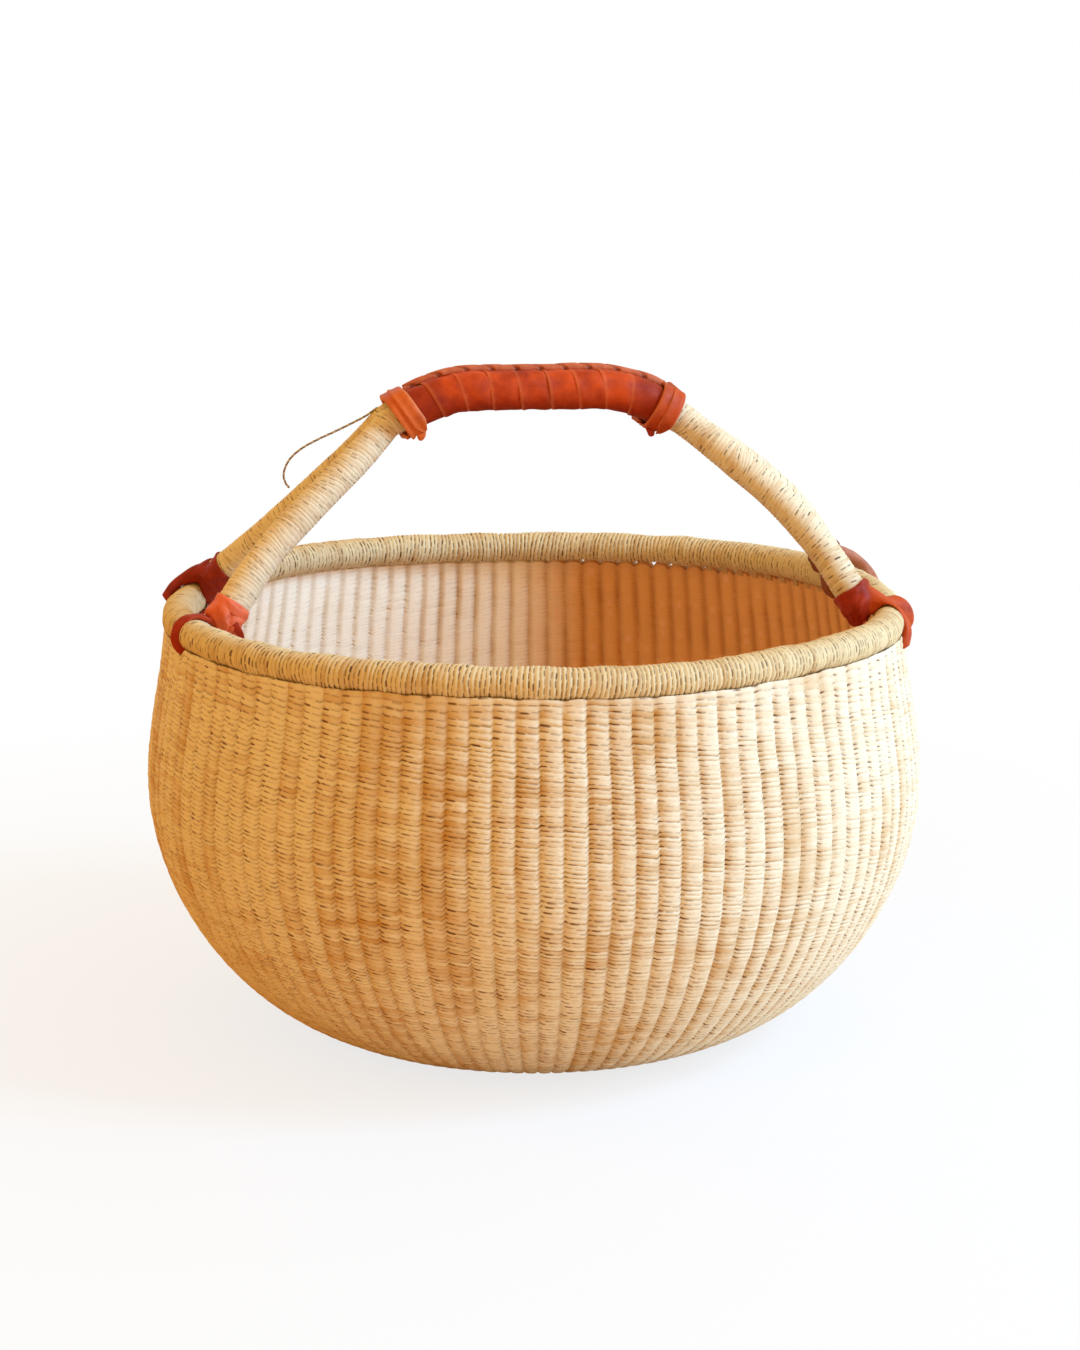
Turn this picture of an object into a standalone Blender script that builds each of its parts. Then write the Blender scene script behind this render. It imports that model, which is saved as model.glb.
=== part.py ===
"""A round basket woven from grass, with a leather-bound handle lashed to its rim.

Metres, +Z up. The origin is the centre of the base, on the floor. X runs along the handle,
and the front of the basket faces -Y.
"""

import bpy
import bmesh
from math import asin, atan2, ceil, cos, hypot, pi, radians, sin, sqrt, tan
from mathutils import Vector

# Gaps between neighbours: matching faces, round pieces inside each other, leather on the bundles
CLEARANCE = 0.0003
ROUND_CLEARANCE = 0.0005
GRIP_CLEARANCE = 0.0008

# Woven bowl: outer sizes of the wall, and its weave
BELLY_RADIUS = 0.2059
BELLY_HEIGHT = 0.134
FOOT_RADIUS = 0.0930
NECK_DRAW_IN = 0.0113
WALL_THICKNESS = 0.006
RIB_DEPTH = 0.0024
BASE_THICKNESS = 0.006
STAKE_COUNT = 112
STAKE_WIDTH = 0.0039
STAKE_DEPTH = 0.0030

# Rim: its centre line, and the grass bundle inside its binding
RIM_HEIGHT = 0.2225
RIM_SET_IN = 0.0076
RIM_TUBE_RADIUS = 0.0083
RIM_WRAP_THICKNESS = 0.0024
WEAVE_HOLE_HEIGHT = 0.0034

# Handle: the centre line of its two bundles, and where a leg ends beside the rim
GRIP_HEIGHT = 0.3377
GRIP_STRAIGHT_LENGTH = 0.060
GRIP_BEND_RADIUS = 0.068
GRIP_BEND_ANGLE = radians(28)
LEG_TOP_SLOPE = radians(36)
LEG_TOP_YAW = radians(20)
LEG_FOOT_SLOPE = radians(55)
LEG_FOOT_YAW = radians(27)
FOOT_STAKES = 5
FOOT_INSET = 0.0160
FOOT_LIFT = 0.0045
FOOT_STRAIGHT_LENGTH = 0.024

# Grass bundles: a leg is round, and two are pressed side by side in the grip
LEG_RADIUS = 0.0085
GRIP_BUNDLE_HALF_WIDTH = 0.0062
GRIP_BUNDLE_HALF_HEIGHT = 0.0080
BUNDLE_WRAP_THICKNESS = 0.0022
SPREAD_LENGTH = 0.045

# Leather of the grip
WINDING_TURNS = 9
WINDING_LENGTH = 0.128
WINDING_THIN_EDGE = 0.0012
WINDING_THICK_EDGE = 0.0022
WINDING_GAP = 0.0008
LACE_WIDTH = 0.0060
LACE_HEIGHT = 0.0038
LACE_DIP = 0.0014
LACE_STITCH_COUNT = 10
COLLAR_LENGTH = 0.016
COLLAR_PROUD = 0.0013
COLLAR_GROOVE_DEPTH = 0.0009

# Leather of the feet
CUFF_LENGTH = 0.022
CUFF_THICKNESS = 0.0022
CUFF_FLOOR_THICKNESS = 0.0022
CUFF_BULGE = 0.0008
STRAP_WIDTH = 0.0060
STRAP_THICKNESS = 0.0024
STRAP_SLACK = 0.0030
STRAP_NOSE_RADIUS = 0.0025

# Twine loop on the left legs: its points leave a leg by the collar and come back lower down
STRING_RADIUS = 0.0006
STRING_POINT_SPACING = 0.0028
STRING_ROUTE = (
    (-0.0893, -0.0105, 0.3232),
    (-0.0975, -0.0120, 0.3260),
    (-0.1065, -0.0145, 0.3240),
    (-0.1160, -0.0175, 0.3195),
    (-0.1240, -0.0195, 0.3145),
    (-0.1305, -0.0210, 0.3085),
    (-0.1345, -0.0220, 0.3020),
    (-0.1350, -0.0225, 0.2960),
    (-0.1325, -0.0235, 0.2905),
    (-0.1296, -0.0250, 0.2891),
)

# Shape of the wall's outline, as shares of the spans between foot, belly and neck
LOWER_OUT_SHARE = 0.54
LOWER_UP_SHARE = 0.52
UPPER_UP_SHARE = 0.25
UPPER_IN_SHARE = 0.72
UPPER_DOWN_SHARE = 0.55

# Facets: steps round, along and across the pieces
BASE_STEPS_ROUND = 72
WALL_STAKES_PER_INNER_STEP = 2
WALL_STEPS_LOWER = 7
WALL_STEPS_UPPER = 3
RIM_STEPS_ROUND = 64
RIM_WRAP_STEPS = 8
RIM_CORE_SIDES = 5
BUNDLE_SIDES = 10
GRIP_STEPS = 2
BEND_STEPS = 5
LEG_STEPS = 7
OVAL_STEPS = 20
STRAP_STEPS = 24
CUFF_SIDES = 14
LACE_STEPS_PER_STITCH = 6
PATH_STEPS = 20
SHARP_ANGLE = radians(40)

# Sizes that follow from those above
NECK_RADIUS = BELLY_RADIUS - NECK_DRAW_IN
RIM_RADIUS = NECK_RADIUS - RIM_SET_IN
WALL_TOP = RIM_HEIGHT - RIM_TUBE_RADIUS - WEAVE_HOLE_HEIGHT
WALL_TOP_RADIUS = NECK_RADIUS - WALL_THICKNESS / 2
RIM_BORE_RADIUS = RIM_TUBE_RADIUS - RIM_WRAP_THICKNESS
RIM_CORE_RADIUS = RIM_BORE_RADIUS - ROUND_CLEARANCE
FOOT_ANGLE = 2 * pi * FOOT_STAKES / STAKE_COUNT
WINDING_INNER_HALF_WIDTH = 2 * GRIP_BUNDLE_HALF_WIDTH + CLEARANCE / 2 + GRIP_CLEARANCE
WINDING_INNER_HALF_HEIGHT = GRIP_BUNDLE_HALF_HEIGHT + GRIP_CLEARANCE
CUFF_BORE_RADIUS = LEG_RADIUS + ROUND_CLEARANCE
GRIP_BEND_END = GRIP_STRAIGHT_LENGTH / 2 + GRIP_BEND_RADIUS * GRIP_BEND_ANGLE
COLLAR_END = WINDING_LENGTH / 2 + CLEARANCE + COLLAR_LENGTH


# Small helpers for meshes and objects

def make_material(name, colour, roughness, metallic=0.0):
    """A plain material with one colour, roughness and metallic value."""
    material = bpy.data.materials.new(name)
    material.use_nodes = True
    shader = material.node_tree.nodes["Principled BSDF"]
    shader.inputs["Base Color"].default_value = (*colour, 1.0)
    shader.inputs["Roughness"].default_value = roughness
    shader.inputs["Metallic"].default_value = metallic
    material.diffuse_color = (*colour, 1.0)
    return material


def straw_material(name):
    """Golden grass, dry and matt."""
    return make_material(name, (0.62, 0.42, 0.19), 0.75)


def pale_straw_material(name):
    """Paler grass, used for bindings."""
    return make_material(name, (0.70, 0.52, 0.27), 0.72)


def leather_material(name):
    """Terracotta goat leather."""
    return make_material(name, (0.52, 0.10, 0.03), 0.55)


def collar_material(name):
    """Lighter orange leather."""
    return make_material(name, (0.66, 0.17, 0.05), 0.5)


def twine_material(name):
    """Thin undyed twine."""
    return make_material(name, (0.45, 0.36, 0.26), 0.8)


def finish_object(name, bm, material, smooth=True):
    """Turn a bmesh into a named object with outward faces and its own material."""
    bmesh.ops.recalc_face_normals(bm, faces=bm.faces)
    mesh = bpy.data.meshes.new(name)
    bm.to_mesh(mesh)
    bm.free()
    if smooth:
        mesh.shade_smooth()
        mesh.set_sharp_from_angle(angle=SHARP_ANGLE)
    mesh.materials.append(material)
    piece = bpy.data.objects.new(name, mesh)
    bpy.context.scene.collection.objects.link(piece)
    return piece


def add_loops(bm, rings):
    """One loop of vertices for each ring of points."""
    return [[bm.verts.new(point) for point in ring] for ring in rings]


def join_loops(bm, many, few):
    """Join two loops with faces. The first may have several points for each of the other's."""
    ratio = len(many) // len(few)
    for k in range(len(few)):
        along = [many[(ratio * k + i) % len(many)] for i in range(ratio + 1)]
        bm.faces.new(along + [few[(k + 1) % len(few)], few[k]])


def add_skin(bm, rings, closed_along):
    """Join rings of points into one closed skin. Each ring is a loop with as many points."""
    loops = add_loops(bm, rings)
    for here, there in zip(loops, loops[1:]):
        join_loops(bm, here, there)
    if closed_along:
        join_loops(bm, loops[-1], loops[0])
    else:
        bm.faces.new(loops[0])
        bm.faces.new(loops[-1])
    return loops


def join_tube_walls(bm, outer_rings, inner_rings):
    """Join outer and inner rings into an open-ended tube with a wall."""
    add_skin(bm, outer_rings + inner_rings[::-1], closed_along=True)


def spun_profile(bm, profile, steps):
    """Spin a closed outline of (radius, height) points once round the Z axis."""
    verts = [bm.verts.new((radius, 0, height)) for radius, height in profile]
    edges = [bm.edges.new((verts[i], verts[(i + 1) % len(verts)])) for i in range(len(verts))]
    bmesh.ops.spin(bm, geom=verts + edges, cent=(0, 0, 0), axis=(0, 0, 1), angle=2 * pi,
                   steps=steps, use_merge=True, use_duplicate=False)
    bmesh.ops.remove_doubles(bm, verts=bm.verts, dist=CLEARANCE / 10)


# Outline of the bowl

def bezier(start, first, second, end, t):
    """A point on a cubic curve, for tuples or vectors of any length."""
    u = 1 - t
    weights = (u ** 3, 3 * u * u * t, 3 * u * t * t, t ** 3)
    return tuple(sum(w * p[i] for w, p in zip(weights, (start, first, second, end)))
                 for i in range(len(start)))


def wall_outline():
    """Outer points of the wall as (radius, height), from the foot up to the neck."""
    foot = (FOOT_RADIUS, 0)
    foot_pull = (FOOT_RADIUS + LOWER_OUT_SHARE * (BELLY_RADIUS - FOOT_RADIUS), 0)
    belly_pull = (BELLY_RADIUS, BELLY_HEIGHT * LOWER_UP_SHARE)
    belly = (BELLY_RADIUS, BELLY_HEIGHT)
    rise = WALL_TOP - BELLY_HEIGHT
    shoulder_pull = (BELLY_RADIUS, BELLY_HEIGHT + UPPER_UP_SHARE * rise)
    neck_pull = (NECK_RADIUS + UPPER_IN_SHARE * (BELLY_RADIUS - NECK_RADIUS),
                 WALL_TOP - UPPER_DOWN_SHARE * rise)
    neck = (NECK_RADIUS, WALL_TOP)
    lower = [bezier(foot, foot_pull, belly_pull, belly, i / WALL_STEPS_LOWER)
             for i in range(WALL_STEPS_LOWER)]
    upper = [bezier(belly, shoulder_pull, neck_pull, neck, i / WALL_STEPS_UPPER)
             for i in range(WALL_STEPS_UPPER + 1)]
    return lower + upper


def inset_outline(points, depth):
    """Shift an outline inwards by a depth, square to its own direction."""
    shifted = []
    for i, (radius, height) in enumerate(points):
        before = points[max(i - 1, 0)]
        after = points[min(i + 1, len(points) - 1)]
        run = after[0] - before[0]
        climb = after[1] - before[1]
        length = hypot(run, climb)
        shifted.append((radius - depth * climb / length, height + depth * run / length))
    shifted[-1] = (points[-1][0] - depth, points[-1][1])
    return shifted


def level_ring(radii, height):
    """A level ring of points about the Z axis, with the given radii in turn."""
    turns = [2 * pi * k / len(radii) for k in range(len(radii))]
    return [Vector((radius * cos(turn), radius * sin(turn), height))
            for radius, turn in zip(radii, turns)]


def ribbed_rings(outline):
    """Rings up the outside of the wall, with a crest over each stake and a groove between.

    The grooves get shallower as the ribs draw together, and end at the foot.
    """
    sunk = inset_outline(outline, RIB_DEPTH)
    rings = []
    for i, (crest, floor) in enumerate(zip(outline, sunk)):
        depth_share = crest[0] / BELLY_RADIUS if i else 0
        groove = [outer + (inner - outer) * depth_share for outer, inner in zip(crest, floor)]
        ring = level_ring([groove[0], crest[0]] * STAKE_COUNT, groove[1])
        for point in ring[1::2]:
            point.z = crest[1]
        rings.append(ring)
    return rings


def build_wall():
    """The woven bowl wall, an open shell from the base's edge to under the rim."""
    outline = wall_outline()
    inner = inset_outline(outline, WALL_THICKNESS)
    inner[0] = (FOOT_RADIUS, BASE_THICKNESS)
    inner_steps = STAKE_COUNT // WALL_STAKES_PER_INNER_STEP
    bm = bmesh.new()
    outside = add_loops(bm, ribbed_rings(outline))
    inside = add_loops(bm, [level_ring([radius] * inner_steps, height) for radius, height in inner])
    for loops in (outside, inside):
        for here, there in zip(loops, loops[1:]):
            join_loops(bm, here, there)
    join_loops(bm, outside[0], inside[0])
    join_loops(bm, outside[-1], inside[-1])
    return finish_object("woven_wall", bm, straw_material("woven_grass_wall"))


def build_base():
    """The woven disc that the bowl stands on, inside the wall's foot."""
    edge = FOOT_RADIUS - ROUND_CLEARANCE
    bm = bmesh.new()
    bmesh.ops.create_cone(bm, cap_ends=True, cap_tris=False, segments=BASE_STEPS_ROUND,
                          radius1=edge, radius2=edge, depth=BASE_THICKNESS)
    bmesh.ops.translate(bm, verts=bm.verts, vec=(0, 0, BASE_THICKNESS / 2))
    return finish_object("woven_base", bm, straw_material("woven_grass_base"))


# Rim

def stake_lean():
    """Angle, from straight down, of the line from the rim's centre to the wall's top."""
    return atan2(WALL_TOP_RADIUS - RIM_RADIUS, RIM_HEIGHT - WALL_TOP)


def rim_section_point(radius, angle_from_down):
    """A point of the rim's section as (radius, height), turning from straight down outwards."""
    return (RIM_RADIUS + radius * sin(angle_from_down), RIM_HEIGHT - radius * cos(angle_from_down))


def core_turns():
    """Corners of the rim core's section, as angles from the stakes' lean: a narrow face is below."""
    half = asin(STAKE_DEPTH / 2 / RIM_CORE_RADIUS)
    return [stake_lean() + half + (2 * pi - 2 * half) * k / (RIM_CORE_SIDES - 1)
            for k in range(RIM_CORE_SIDES)]


def build_rim_core():
    """The bundle inside the rim, with the stakes' bare ends that rise into it from the wall.

    The ends stand apart, which leaves a row of small holes between the wall and the rim.
    """
    half_stake = STAKE_WIDTH / 2 / WALL_TOP_RADIUS
    section = [rim_section_point(RIM_CORE_RADIUS, turn) for turn in core_turns()]
    rings = []
    for n in range(STAKE_COUNT):
        middle = 2 * pi * (n + 1 / 2) / STAKE_COUNT
        for angle in (middle - half_stake, middle + half_stake):
            rings.append([Vector((radius * cos(angle), radius * sin(angle), height))
                          for radius, height in section])
    bm = bmesh.new()
    loops = add_skin(bm, rings, closed_along=True)
    undersides = []
    for n in range(STAKE_COUNT):
        one, other = loops[2 * n], loops[2 * n + 1]
        undersides.append(bm.faces.get((one[0], one[-1], other[-1], other[0])))
    ends = bmesh.ops.extrude_discrete_faces(bm, faces=undersides)["faces"]
    for vert in {vert for face in ends for vert in face.verts}:
        drop = vert.co.z - WALL_TOP - CLEARANCE
        out = Vector((vert.co.x, vert.co.y, 0)).normalized()
        vert.co += out * drop * tan(stake_lean()) - Vector((0, 0, drop))
    return finish_object("rim_core", bm, straw_material("rim_grass_bundle"), smooth=False)


def build_rim_wrap():
    """The binding round the rim core, open below where the stakes come up into it."""
    slot_half_width = STAKE_DEPTH / 2 + 2 * CLEARANCE
    bore_slot = asin(slot_half_width / RIM_BORE_RADIUS)
    skin_slot = asin(slot_half_width / RIM_TUBE_RADIUS)
    skin_turns = [stake_lean() + skin_slot + 2 * (pi - skin_slot) * k / RIM_WRAP_STEPS
                  for k in range(RIM_WRAP_STEPS + 1)]
    bore_turns = core_turns()
    bore_turns[0] = stake_lean() + bore_slot
    bore_turns[-1] = stake_lean() + 2 * pi - bore_slot
    outer = [rim_section_point(RIM_TUBE_RADIUS, turn) for turn in skin_turns]
    inner = [rim_section_point(RIM_BORE_RADIUS, turn) for turn in bore_turns]
    bm = bmesh.new()
    spun_profile(bm, outer + inner[::-1], RIM_STEPS_ROUND)
    return finish_object("rim_wrap", bm, pale_straw_material("rim_grass_binding"))


# Centre line of the handle

def foot_point(side_x, side_y):
    """Outer end of a leg's cuff, beside the rim and a little above it."""
    radius = RIM_RADIUS - FOOT_INSET
    return Vector((side_x * radius * cos(FOOT_ANGLE), side_y * radius * sin(FOOT_ANGLE),
                   RIM_HEIGHT + FOOT_LIFT))


def leg_direction(side_x, side_y, slope, yaw):
    """Unit vector down along a leg, from its slope and its turn away from the handle's plane."""
    level = cos(slope)
    return Vector((side_x * level * cos(yaw), side_y * level * sin(yaw), -sin(slope)))


def foot_direction(side_x, side_y):
    """Unit vector down along a leg at its foot."""
    return leg_direction(side_x, side_y, LEG_FOOT_SLOPE, LEG_FOOT_YAW)


def grip_point(distance):
    """Centre line of the grip at a distance from its middle, with its direction and normal."""
    side = 1 if distance >= 0 else -1
    run = abs(distance)
    half = GRIP_STRAIGHT_LENGTH / 2
    bend = min(max(run - half, 0) / GRIP_BEND_RADIUS, GRIP_BEND_ANGLE)
    past = max(run - GRIP_BEND_END, 0)
    x = min(run, half) + GRIP_BEND_RADIUS * sin(bend) + past * cos(bend)
    z = GRIP_HEIGHT - GRIP_BEND_RADIUS * (1 - cos(bend)) - past * sin(bend)
    direction = Vector((cos(bend), 0, -side * sin(bend)))
    normal = Vector((side * sin(bend), 0, cos(bend)))
    return Vector((side * x, 0, z)), direction, normal


def smooth_step(value):
    """0 below 0, 1 above 1 and an even S between."""
    t = min(max(value, 0), 1)
    return t * t * (3 - 2 * t)


def bundle_stations(side_y):
    """Stations along one bundle, from its left foot to its right: centre, across, up, spread.

    Spread runs from 0, pressed beside its twin in the grip, to 1, a round leg.
    """
    beside = GRIP_BUNDLE_HALF_WIDTH + CLEARANCE / 2
    leg_start = COLLAR_END + ROUND_CLEARANCE
    half = GRIP_STRAIGHT_LENGTH / 2
    grip_runs = [half * i / GRIP_STEPS for i in range(GRIP_STEPS)]
    bend_runs = [half + (GRIP_BEND_END - half) * i / BEND_STEPS for i in range(BEND_STEPS)]
    right = [(grip_point(run)[0] + Vector((0, side_y * beside, 0)), 0.0)
             for run in grip_runs + bend_runs + [GRIP_BEND_END, leg_start]]
    start = right[-1][0]
    start_direction = leg_direction(1, side_y, LEG_TOP_SLOPE, LEG_TOP_YAW)
    end_direction = foot_direction(1, side_y)
    inside = end_direction * (CUFF_FLOOR_THICKNESS + CLEARANCE)
    end = foot_point(1, side_y) - inside
    straight = end - end_direction * FOOT_STRAIGHT_LENGTH
    pull = (straight - start).length / 3
    for i in range(1, LEG_STEPS + 1):
        t = i / LEG_STEPS
        point = Vector(bezier(start, start + start_direction * pull,
                              straight - end_direction * pull, straight, t))
        right.append((point, smooth_step((point - start).length / SPREAD_LENGTH)))
    right.append((end, 1.0))
    left = [(Vector((-point.x, point.y, point.z)), spread) for point, spread in reversed(right[1:])]
    places = left + right
    stations = []
    for i, (point, spread) in enumerate(places):
        before = places[max(i - 1, 0)][0]
        after = places[min(i + 1, len(places) - 1)][0]
        direction = (after - before).normalized()
        if i == 0:
            direction = -foot_direction(-1, side_y)
        if i == len(places) - 1:
            direction = foot_direction(1, side_y)
        across = (Vector((0, 1, 0)) - direction * direction.y).normalized()
        stations.append((point, across, direction.cross(across), spread))
    return stations


def bundle_rings(stations, shrink):
    """Oval rings round a bundle's stations, drawn in from its surface by a depth."""
    rings = []
    for point, across, up, spread in stations:
        half_width = GRIP_BUNDLE_HALF_WIDTH + spread * (LEG_RADIUS - GRIP_BUNDLE_HALF_WIDTH) - shrink
        half_height = GRIP_BUNDLE_HALF_HEIGHT + spread * (LEG_RADIUS - GRIP_BUNDLE_HALF_HEIGHT) - shrink
        rings.append([point + across * half_width * cos(2 * pi * k / BUNDLE_SIDES)
                      + up * half_height * sin(2 * pi * k / BUNDLE_SIDES) for k in range(BUNDLE_SIDES)])
    return rings


def build_handle_bundle(label, side_y):
    """One bundle of the handle: its grass core, and the binding wound round it."""
    stations = bundle_stations(side_y)
    core_bm = bmesh.new()
    add_skin(core_bm, bundle_rings(stations, BUNDLE_WRAP_THICKNESS + CLEARANCE), closed_along=False)
    core = finish_object("handle_core_" + label, core_bm, straw_material("handle_grass_" + label))
    wrap_bm = bmesh.new()
    join_tube_walls(wrap_bm, bundle_rings(stations, 0), bundle_rings(stations, BUNDLE_WRAP_THICKNESS))
    wrap = finish_object("handle_wrap_" + label, wrap_bm, pale_straw_material("handle_binding_" + label))
    return core, wrap


# Leather of the grip

def oval_point(share, proud):
    """A point round both bundles as (across, up): flat above and below, round at the sides.

    Share runs once round from the middle of the top, and proud is the height above the
    tightest oval that clears the bundles.
    """
    flat_half = GRIP_BUNDLE_HALF_WIDTH + CLEARANCE / 2
    end_width = WINDING_INNER_HALF_WIDTH - flat_half + proud
    end_height = WINDING_INNER_HALF_HEIGHT + proud
    end_length = pi * sqrt((end_width ** 2 + end_height ** 2) / 2)
    total = 4 * flat_half + 2 * end_length
    run = (share % 1) * total
    if run <= flat_half:
        return run, end_height
    if run <= flat_half + end_length:
        turn = (run - flat_half) / end_length * pi
        return flat_half + end_width * sin(turn), end_height * cos(turn)
    if run <= 3 * flat_half + end_length:
        return flat_half - (run - flat_half - end_length), -end_height
    if run <= 3 * flat_half + 2 * end_length:
        turn = (run - 3 * flat_half - end_length) / end_length * pi
        return -flat_half - end_width * sin(turn), -end_height * cos(turn)
    return run - total, end_height


def grip_surface(distance, share, proud):
    """A point of the grip's skin at a distance along it and a share of the way round."""
    centre, _, normal = grip_point(distance)
    across, up = oval_point(share, proud)
    return centre + Vector((0, across, 0)) + normal * up


def build_grip_winding():
    """One leather strip wound round the grip, thick at the edge that laps the last turn."""
    pitch = WINDING_LENGTH / (WINDING_TURNS + 1)
    half_strip = (pitch - WINDING_GAP) / 2
    start = -WINDING_TURNS * pitch / 2
    steps = WINDING_TURNS * OVAL_STEPS
    rings = []
    for i in range(steps + 1):
        share = i / OVAL_STEPS
        middle = start + pitch * share
        rings.append([grip_surface(middle - half_strip, share, 0),
                      grip_surface(middle + half_strip, share, 0),
                      grip_surface(middle + half_strip, share, WINDING_THIN_EDGE),
                      grip_surface(middle - half_strip, share, WINDING_THICK_EDGE)])
    least = min((rings[i][low] - rings[i + OVAL_STEPS][high]).length
                for i in range(steps + 1 - OVAL_STEPS) for low in (1, 2) for high in (0, 3))
    print("grip_winding: least gap between turns %.2f mm" % (least * 1000))
    bm = bmesh.new()
    add_skin(bm, rings, closed_along=False)
    return finish_object("grip_winding", bm, leather_material("grip_leather"))


def build_grip_lace():
    """The lace whipped along the top of the grip, rising and dipping with each stitch."""
    steps = LACE_STITCH_COUNT * LACE_STEPS_PER_STITCH
    reach = WINDING_LENGTH / 2 - CLEARANCE
    seat = WINDING_INNER_HALF_HEIGHT + WINDING_THICK_EDGE + CLEARANCE
    rings = []
    for i in range(steps + 1):
        phase = (i % LACE_STEPS_PER_STITCH) / LACE_STEPS_PER_STITCH
        centre, _, normal = grip_point(reach * (2 * i / steps - 1))
        height = LACE_HEIGHT - LACE_DIP * (1 + cos(2 * pi * phase)) / 2
        half = LACE_WIDTH / 2
        sway = half * sin(2 * pi * phase) / 4
        section = [(-half, 0), (half, 0), (half * 2 / 3 + sway, height * 3 / 4),
                   (sway, height), (-half * 2 / 3 + sway, height * 3 / 4)]
        rings.append([centre + Vector((0, across, 0)) + normal * (seat + up) for across, up in section])
    bm = bmesh.new()
    add_skin(bm, rings, closed_along=False)
    return finish_object("grip_lace", bm, leather_material("lace_leather"))


def build_collar(label, side_x):
    """The leather band at one end of the grip, wound twice, so it has two crowns."""
    inner_end = WINDING_LENGTH / 2 + CLEARANCE
    crown = WINDING_THICK_EDGE + COLLAR_PROUD
    heights = [crown - COLLAR_GROOVE_DEPTH, crown, crown, crown - COLLAR_GROOVE_DEPTH,
               crown, crown, crown - COLLAR_GROOVE_DEPTH]
    shares = [0, 0.12, 0.38, 0.5, 0.62, 0.88, 1]
    outer = [[grip_surface(side_x * (inner_end + COLLAR_LENGTH * share), k / OVAL_STEPS, height)
              for k in range(OVAL_STEPS)] for share, height in zip(shares, heights)]
    inner = [[grip_surface(side_x * (inner_end + COLLAR_LENGTH * share), k / OVAL_STEPS, 0)
              for k in range(OVAL_STEPS)] for share in (0, 0.25, 0.5, 1)]
    bm = bmesh.new()
    join_tube_walls(bm, outer, inner)
    return finish_object("grip_collar_" + label, bm, collar_material("collar_leather_" + label))


# Leather of the feet

def build_cuff(label, side_x, side_y):
    """A leather cap over the end of a leg, closed at the foot and gathered at its mouth."""
    outer = CUFF_BORE_RADIUS + CUFF_THICKNESS
    floor = CUFF_FLOOR_THICKNESS
    profile = [(outer - CUFF_THICKNESS, 0), (outer, CUFF_THICKNESS),
               (outer + CUFF_BULGE, CUFF_LENGTH / 2), (outer, CUFF_LENGTH * 3 / 4),
               (outer + CUFF_BULGE, CUFF_LENGTH), (CUFF_BORE_RADIUS, CUFF_LENGTH),
               (CUFF_BORE_RADIUS, floor)]
    end = foot_point(side_x, side_y)
    up = -foot_direction(side_x, side_y)
    turn = Vector((0, 0, 1)).rotation_difference(up)
    bm = bmesh.new()
    rings = [[end + turn @ Vector((radius * cos(2 * pi * k / CUFF_SIDES),
                                   radius * sin(2 * pi * k / CUFF_SIDES), height))
              for k in range(CUFF_SIDES)] for radius, height in profile]
    add_skin(bm, rings, closed_along=False)
    return finish_object("leg_cuff_" + label, bm, leather_material("cuff_leather_" + label))


def strap_outline(side_x, side_y):
    """Middle line of a strap as (inwards, up, normal) points round the rim and its nose.

    It is the tight loop round an oval, which is the rim with its slack, and a small circle,
    the nose, which touches the cuff.
    """
    half = STRAP_THICKNESS / 2
    oval_width = RIM_TUBE_RADIUS + STRAP_SLACK + half
    oval_height = RIM_TUBE_RADIUS + CLEARANCE + half
    skew_angle = LEG_FOOT_YAW - FOOT_ANGLE
    slope = atan2(sin(LEG_FOOT_SLOPE), cos(LEG_FOOT_SLOPE) * cos(skew_angle))
    skew = STRAP_WIDTH / 2 * sin(skew_angle) * cos(LEG_FOOT_SLOPE)
    reach = STRAP_NOSE_RADIUS + half + CLEARANCE + skew
    nose = (FOOT_INSET - reach * cos(slope), FOOT_LIFT - reach * sin(slope))
    points = []
    for k in range(STRAP_STEPS):
        angle = 2 * pi * k / STRAP_STEPS
        normal = (cos(angle), sin(angle))
        length = hypot(oval_width * normal[0], oval_height * normal[1])
        on_oval = (oval_width ** 2 * normal[0] / length, oval_height ** 2 * normal[1] / length)
        on_nose = (nose[0] + STRAP_NOSE_RADIUS * normal[0], nose[1] + STRAP_NOSE_RADIUS * normal[1])
        far = max(on_oval, on_nose, key=lambda point: point[0] * normal[0] + point[1] * normal[1])
        points.append((far, normal))
    return points


def build_strap(label, side_x, side_y):
    """A leather thong looped loosely round the rim, through the holes beside a stake."""
    out = Vector((side_x * cos(FOOT_ANGLE), side_y * sin(FOOT_ANGLE), 0))
    along = Vector((-out.y, out.x, 0))
    centre = out * RIM_RADIUS + Vector((0, 0, RIM_HEIGHT))
    rings = []
    for (inwards, up), (normal_in, normal_up) in strap_outline(side_x, side_y):
        middle = centre - out * inwards + Vector((0, 0, up))
        normal = -out * normal_in + Vector((0, 0, normal_up))
        rings.append([middle + normal * proud * STRAP_THICKNESS / 2 + along * side * STRAP_WIDTH / 2
                      for proud, side in ((-1, -1), (1, -1), (1, 1), (-1, 1))])
    bm = bmesh.new()
    add_skin(bm, rings, closed_along=True)
    return finish_object("rim_strap_" + label, bm, leather_material("strap_leather_" + label))


# Twine

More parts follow.
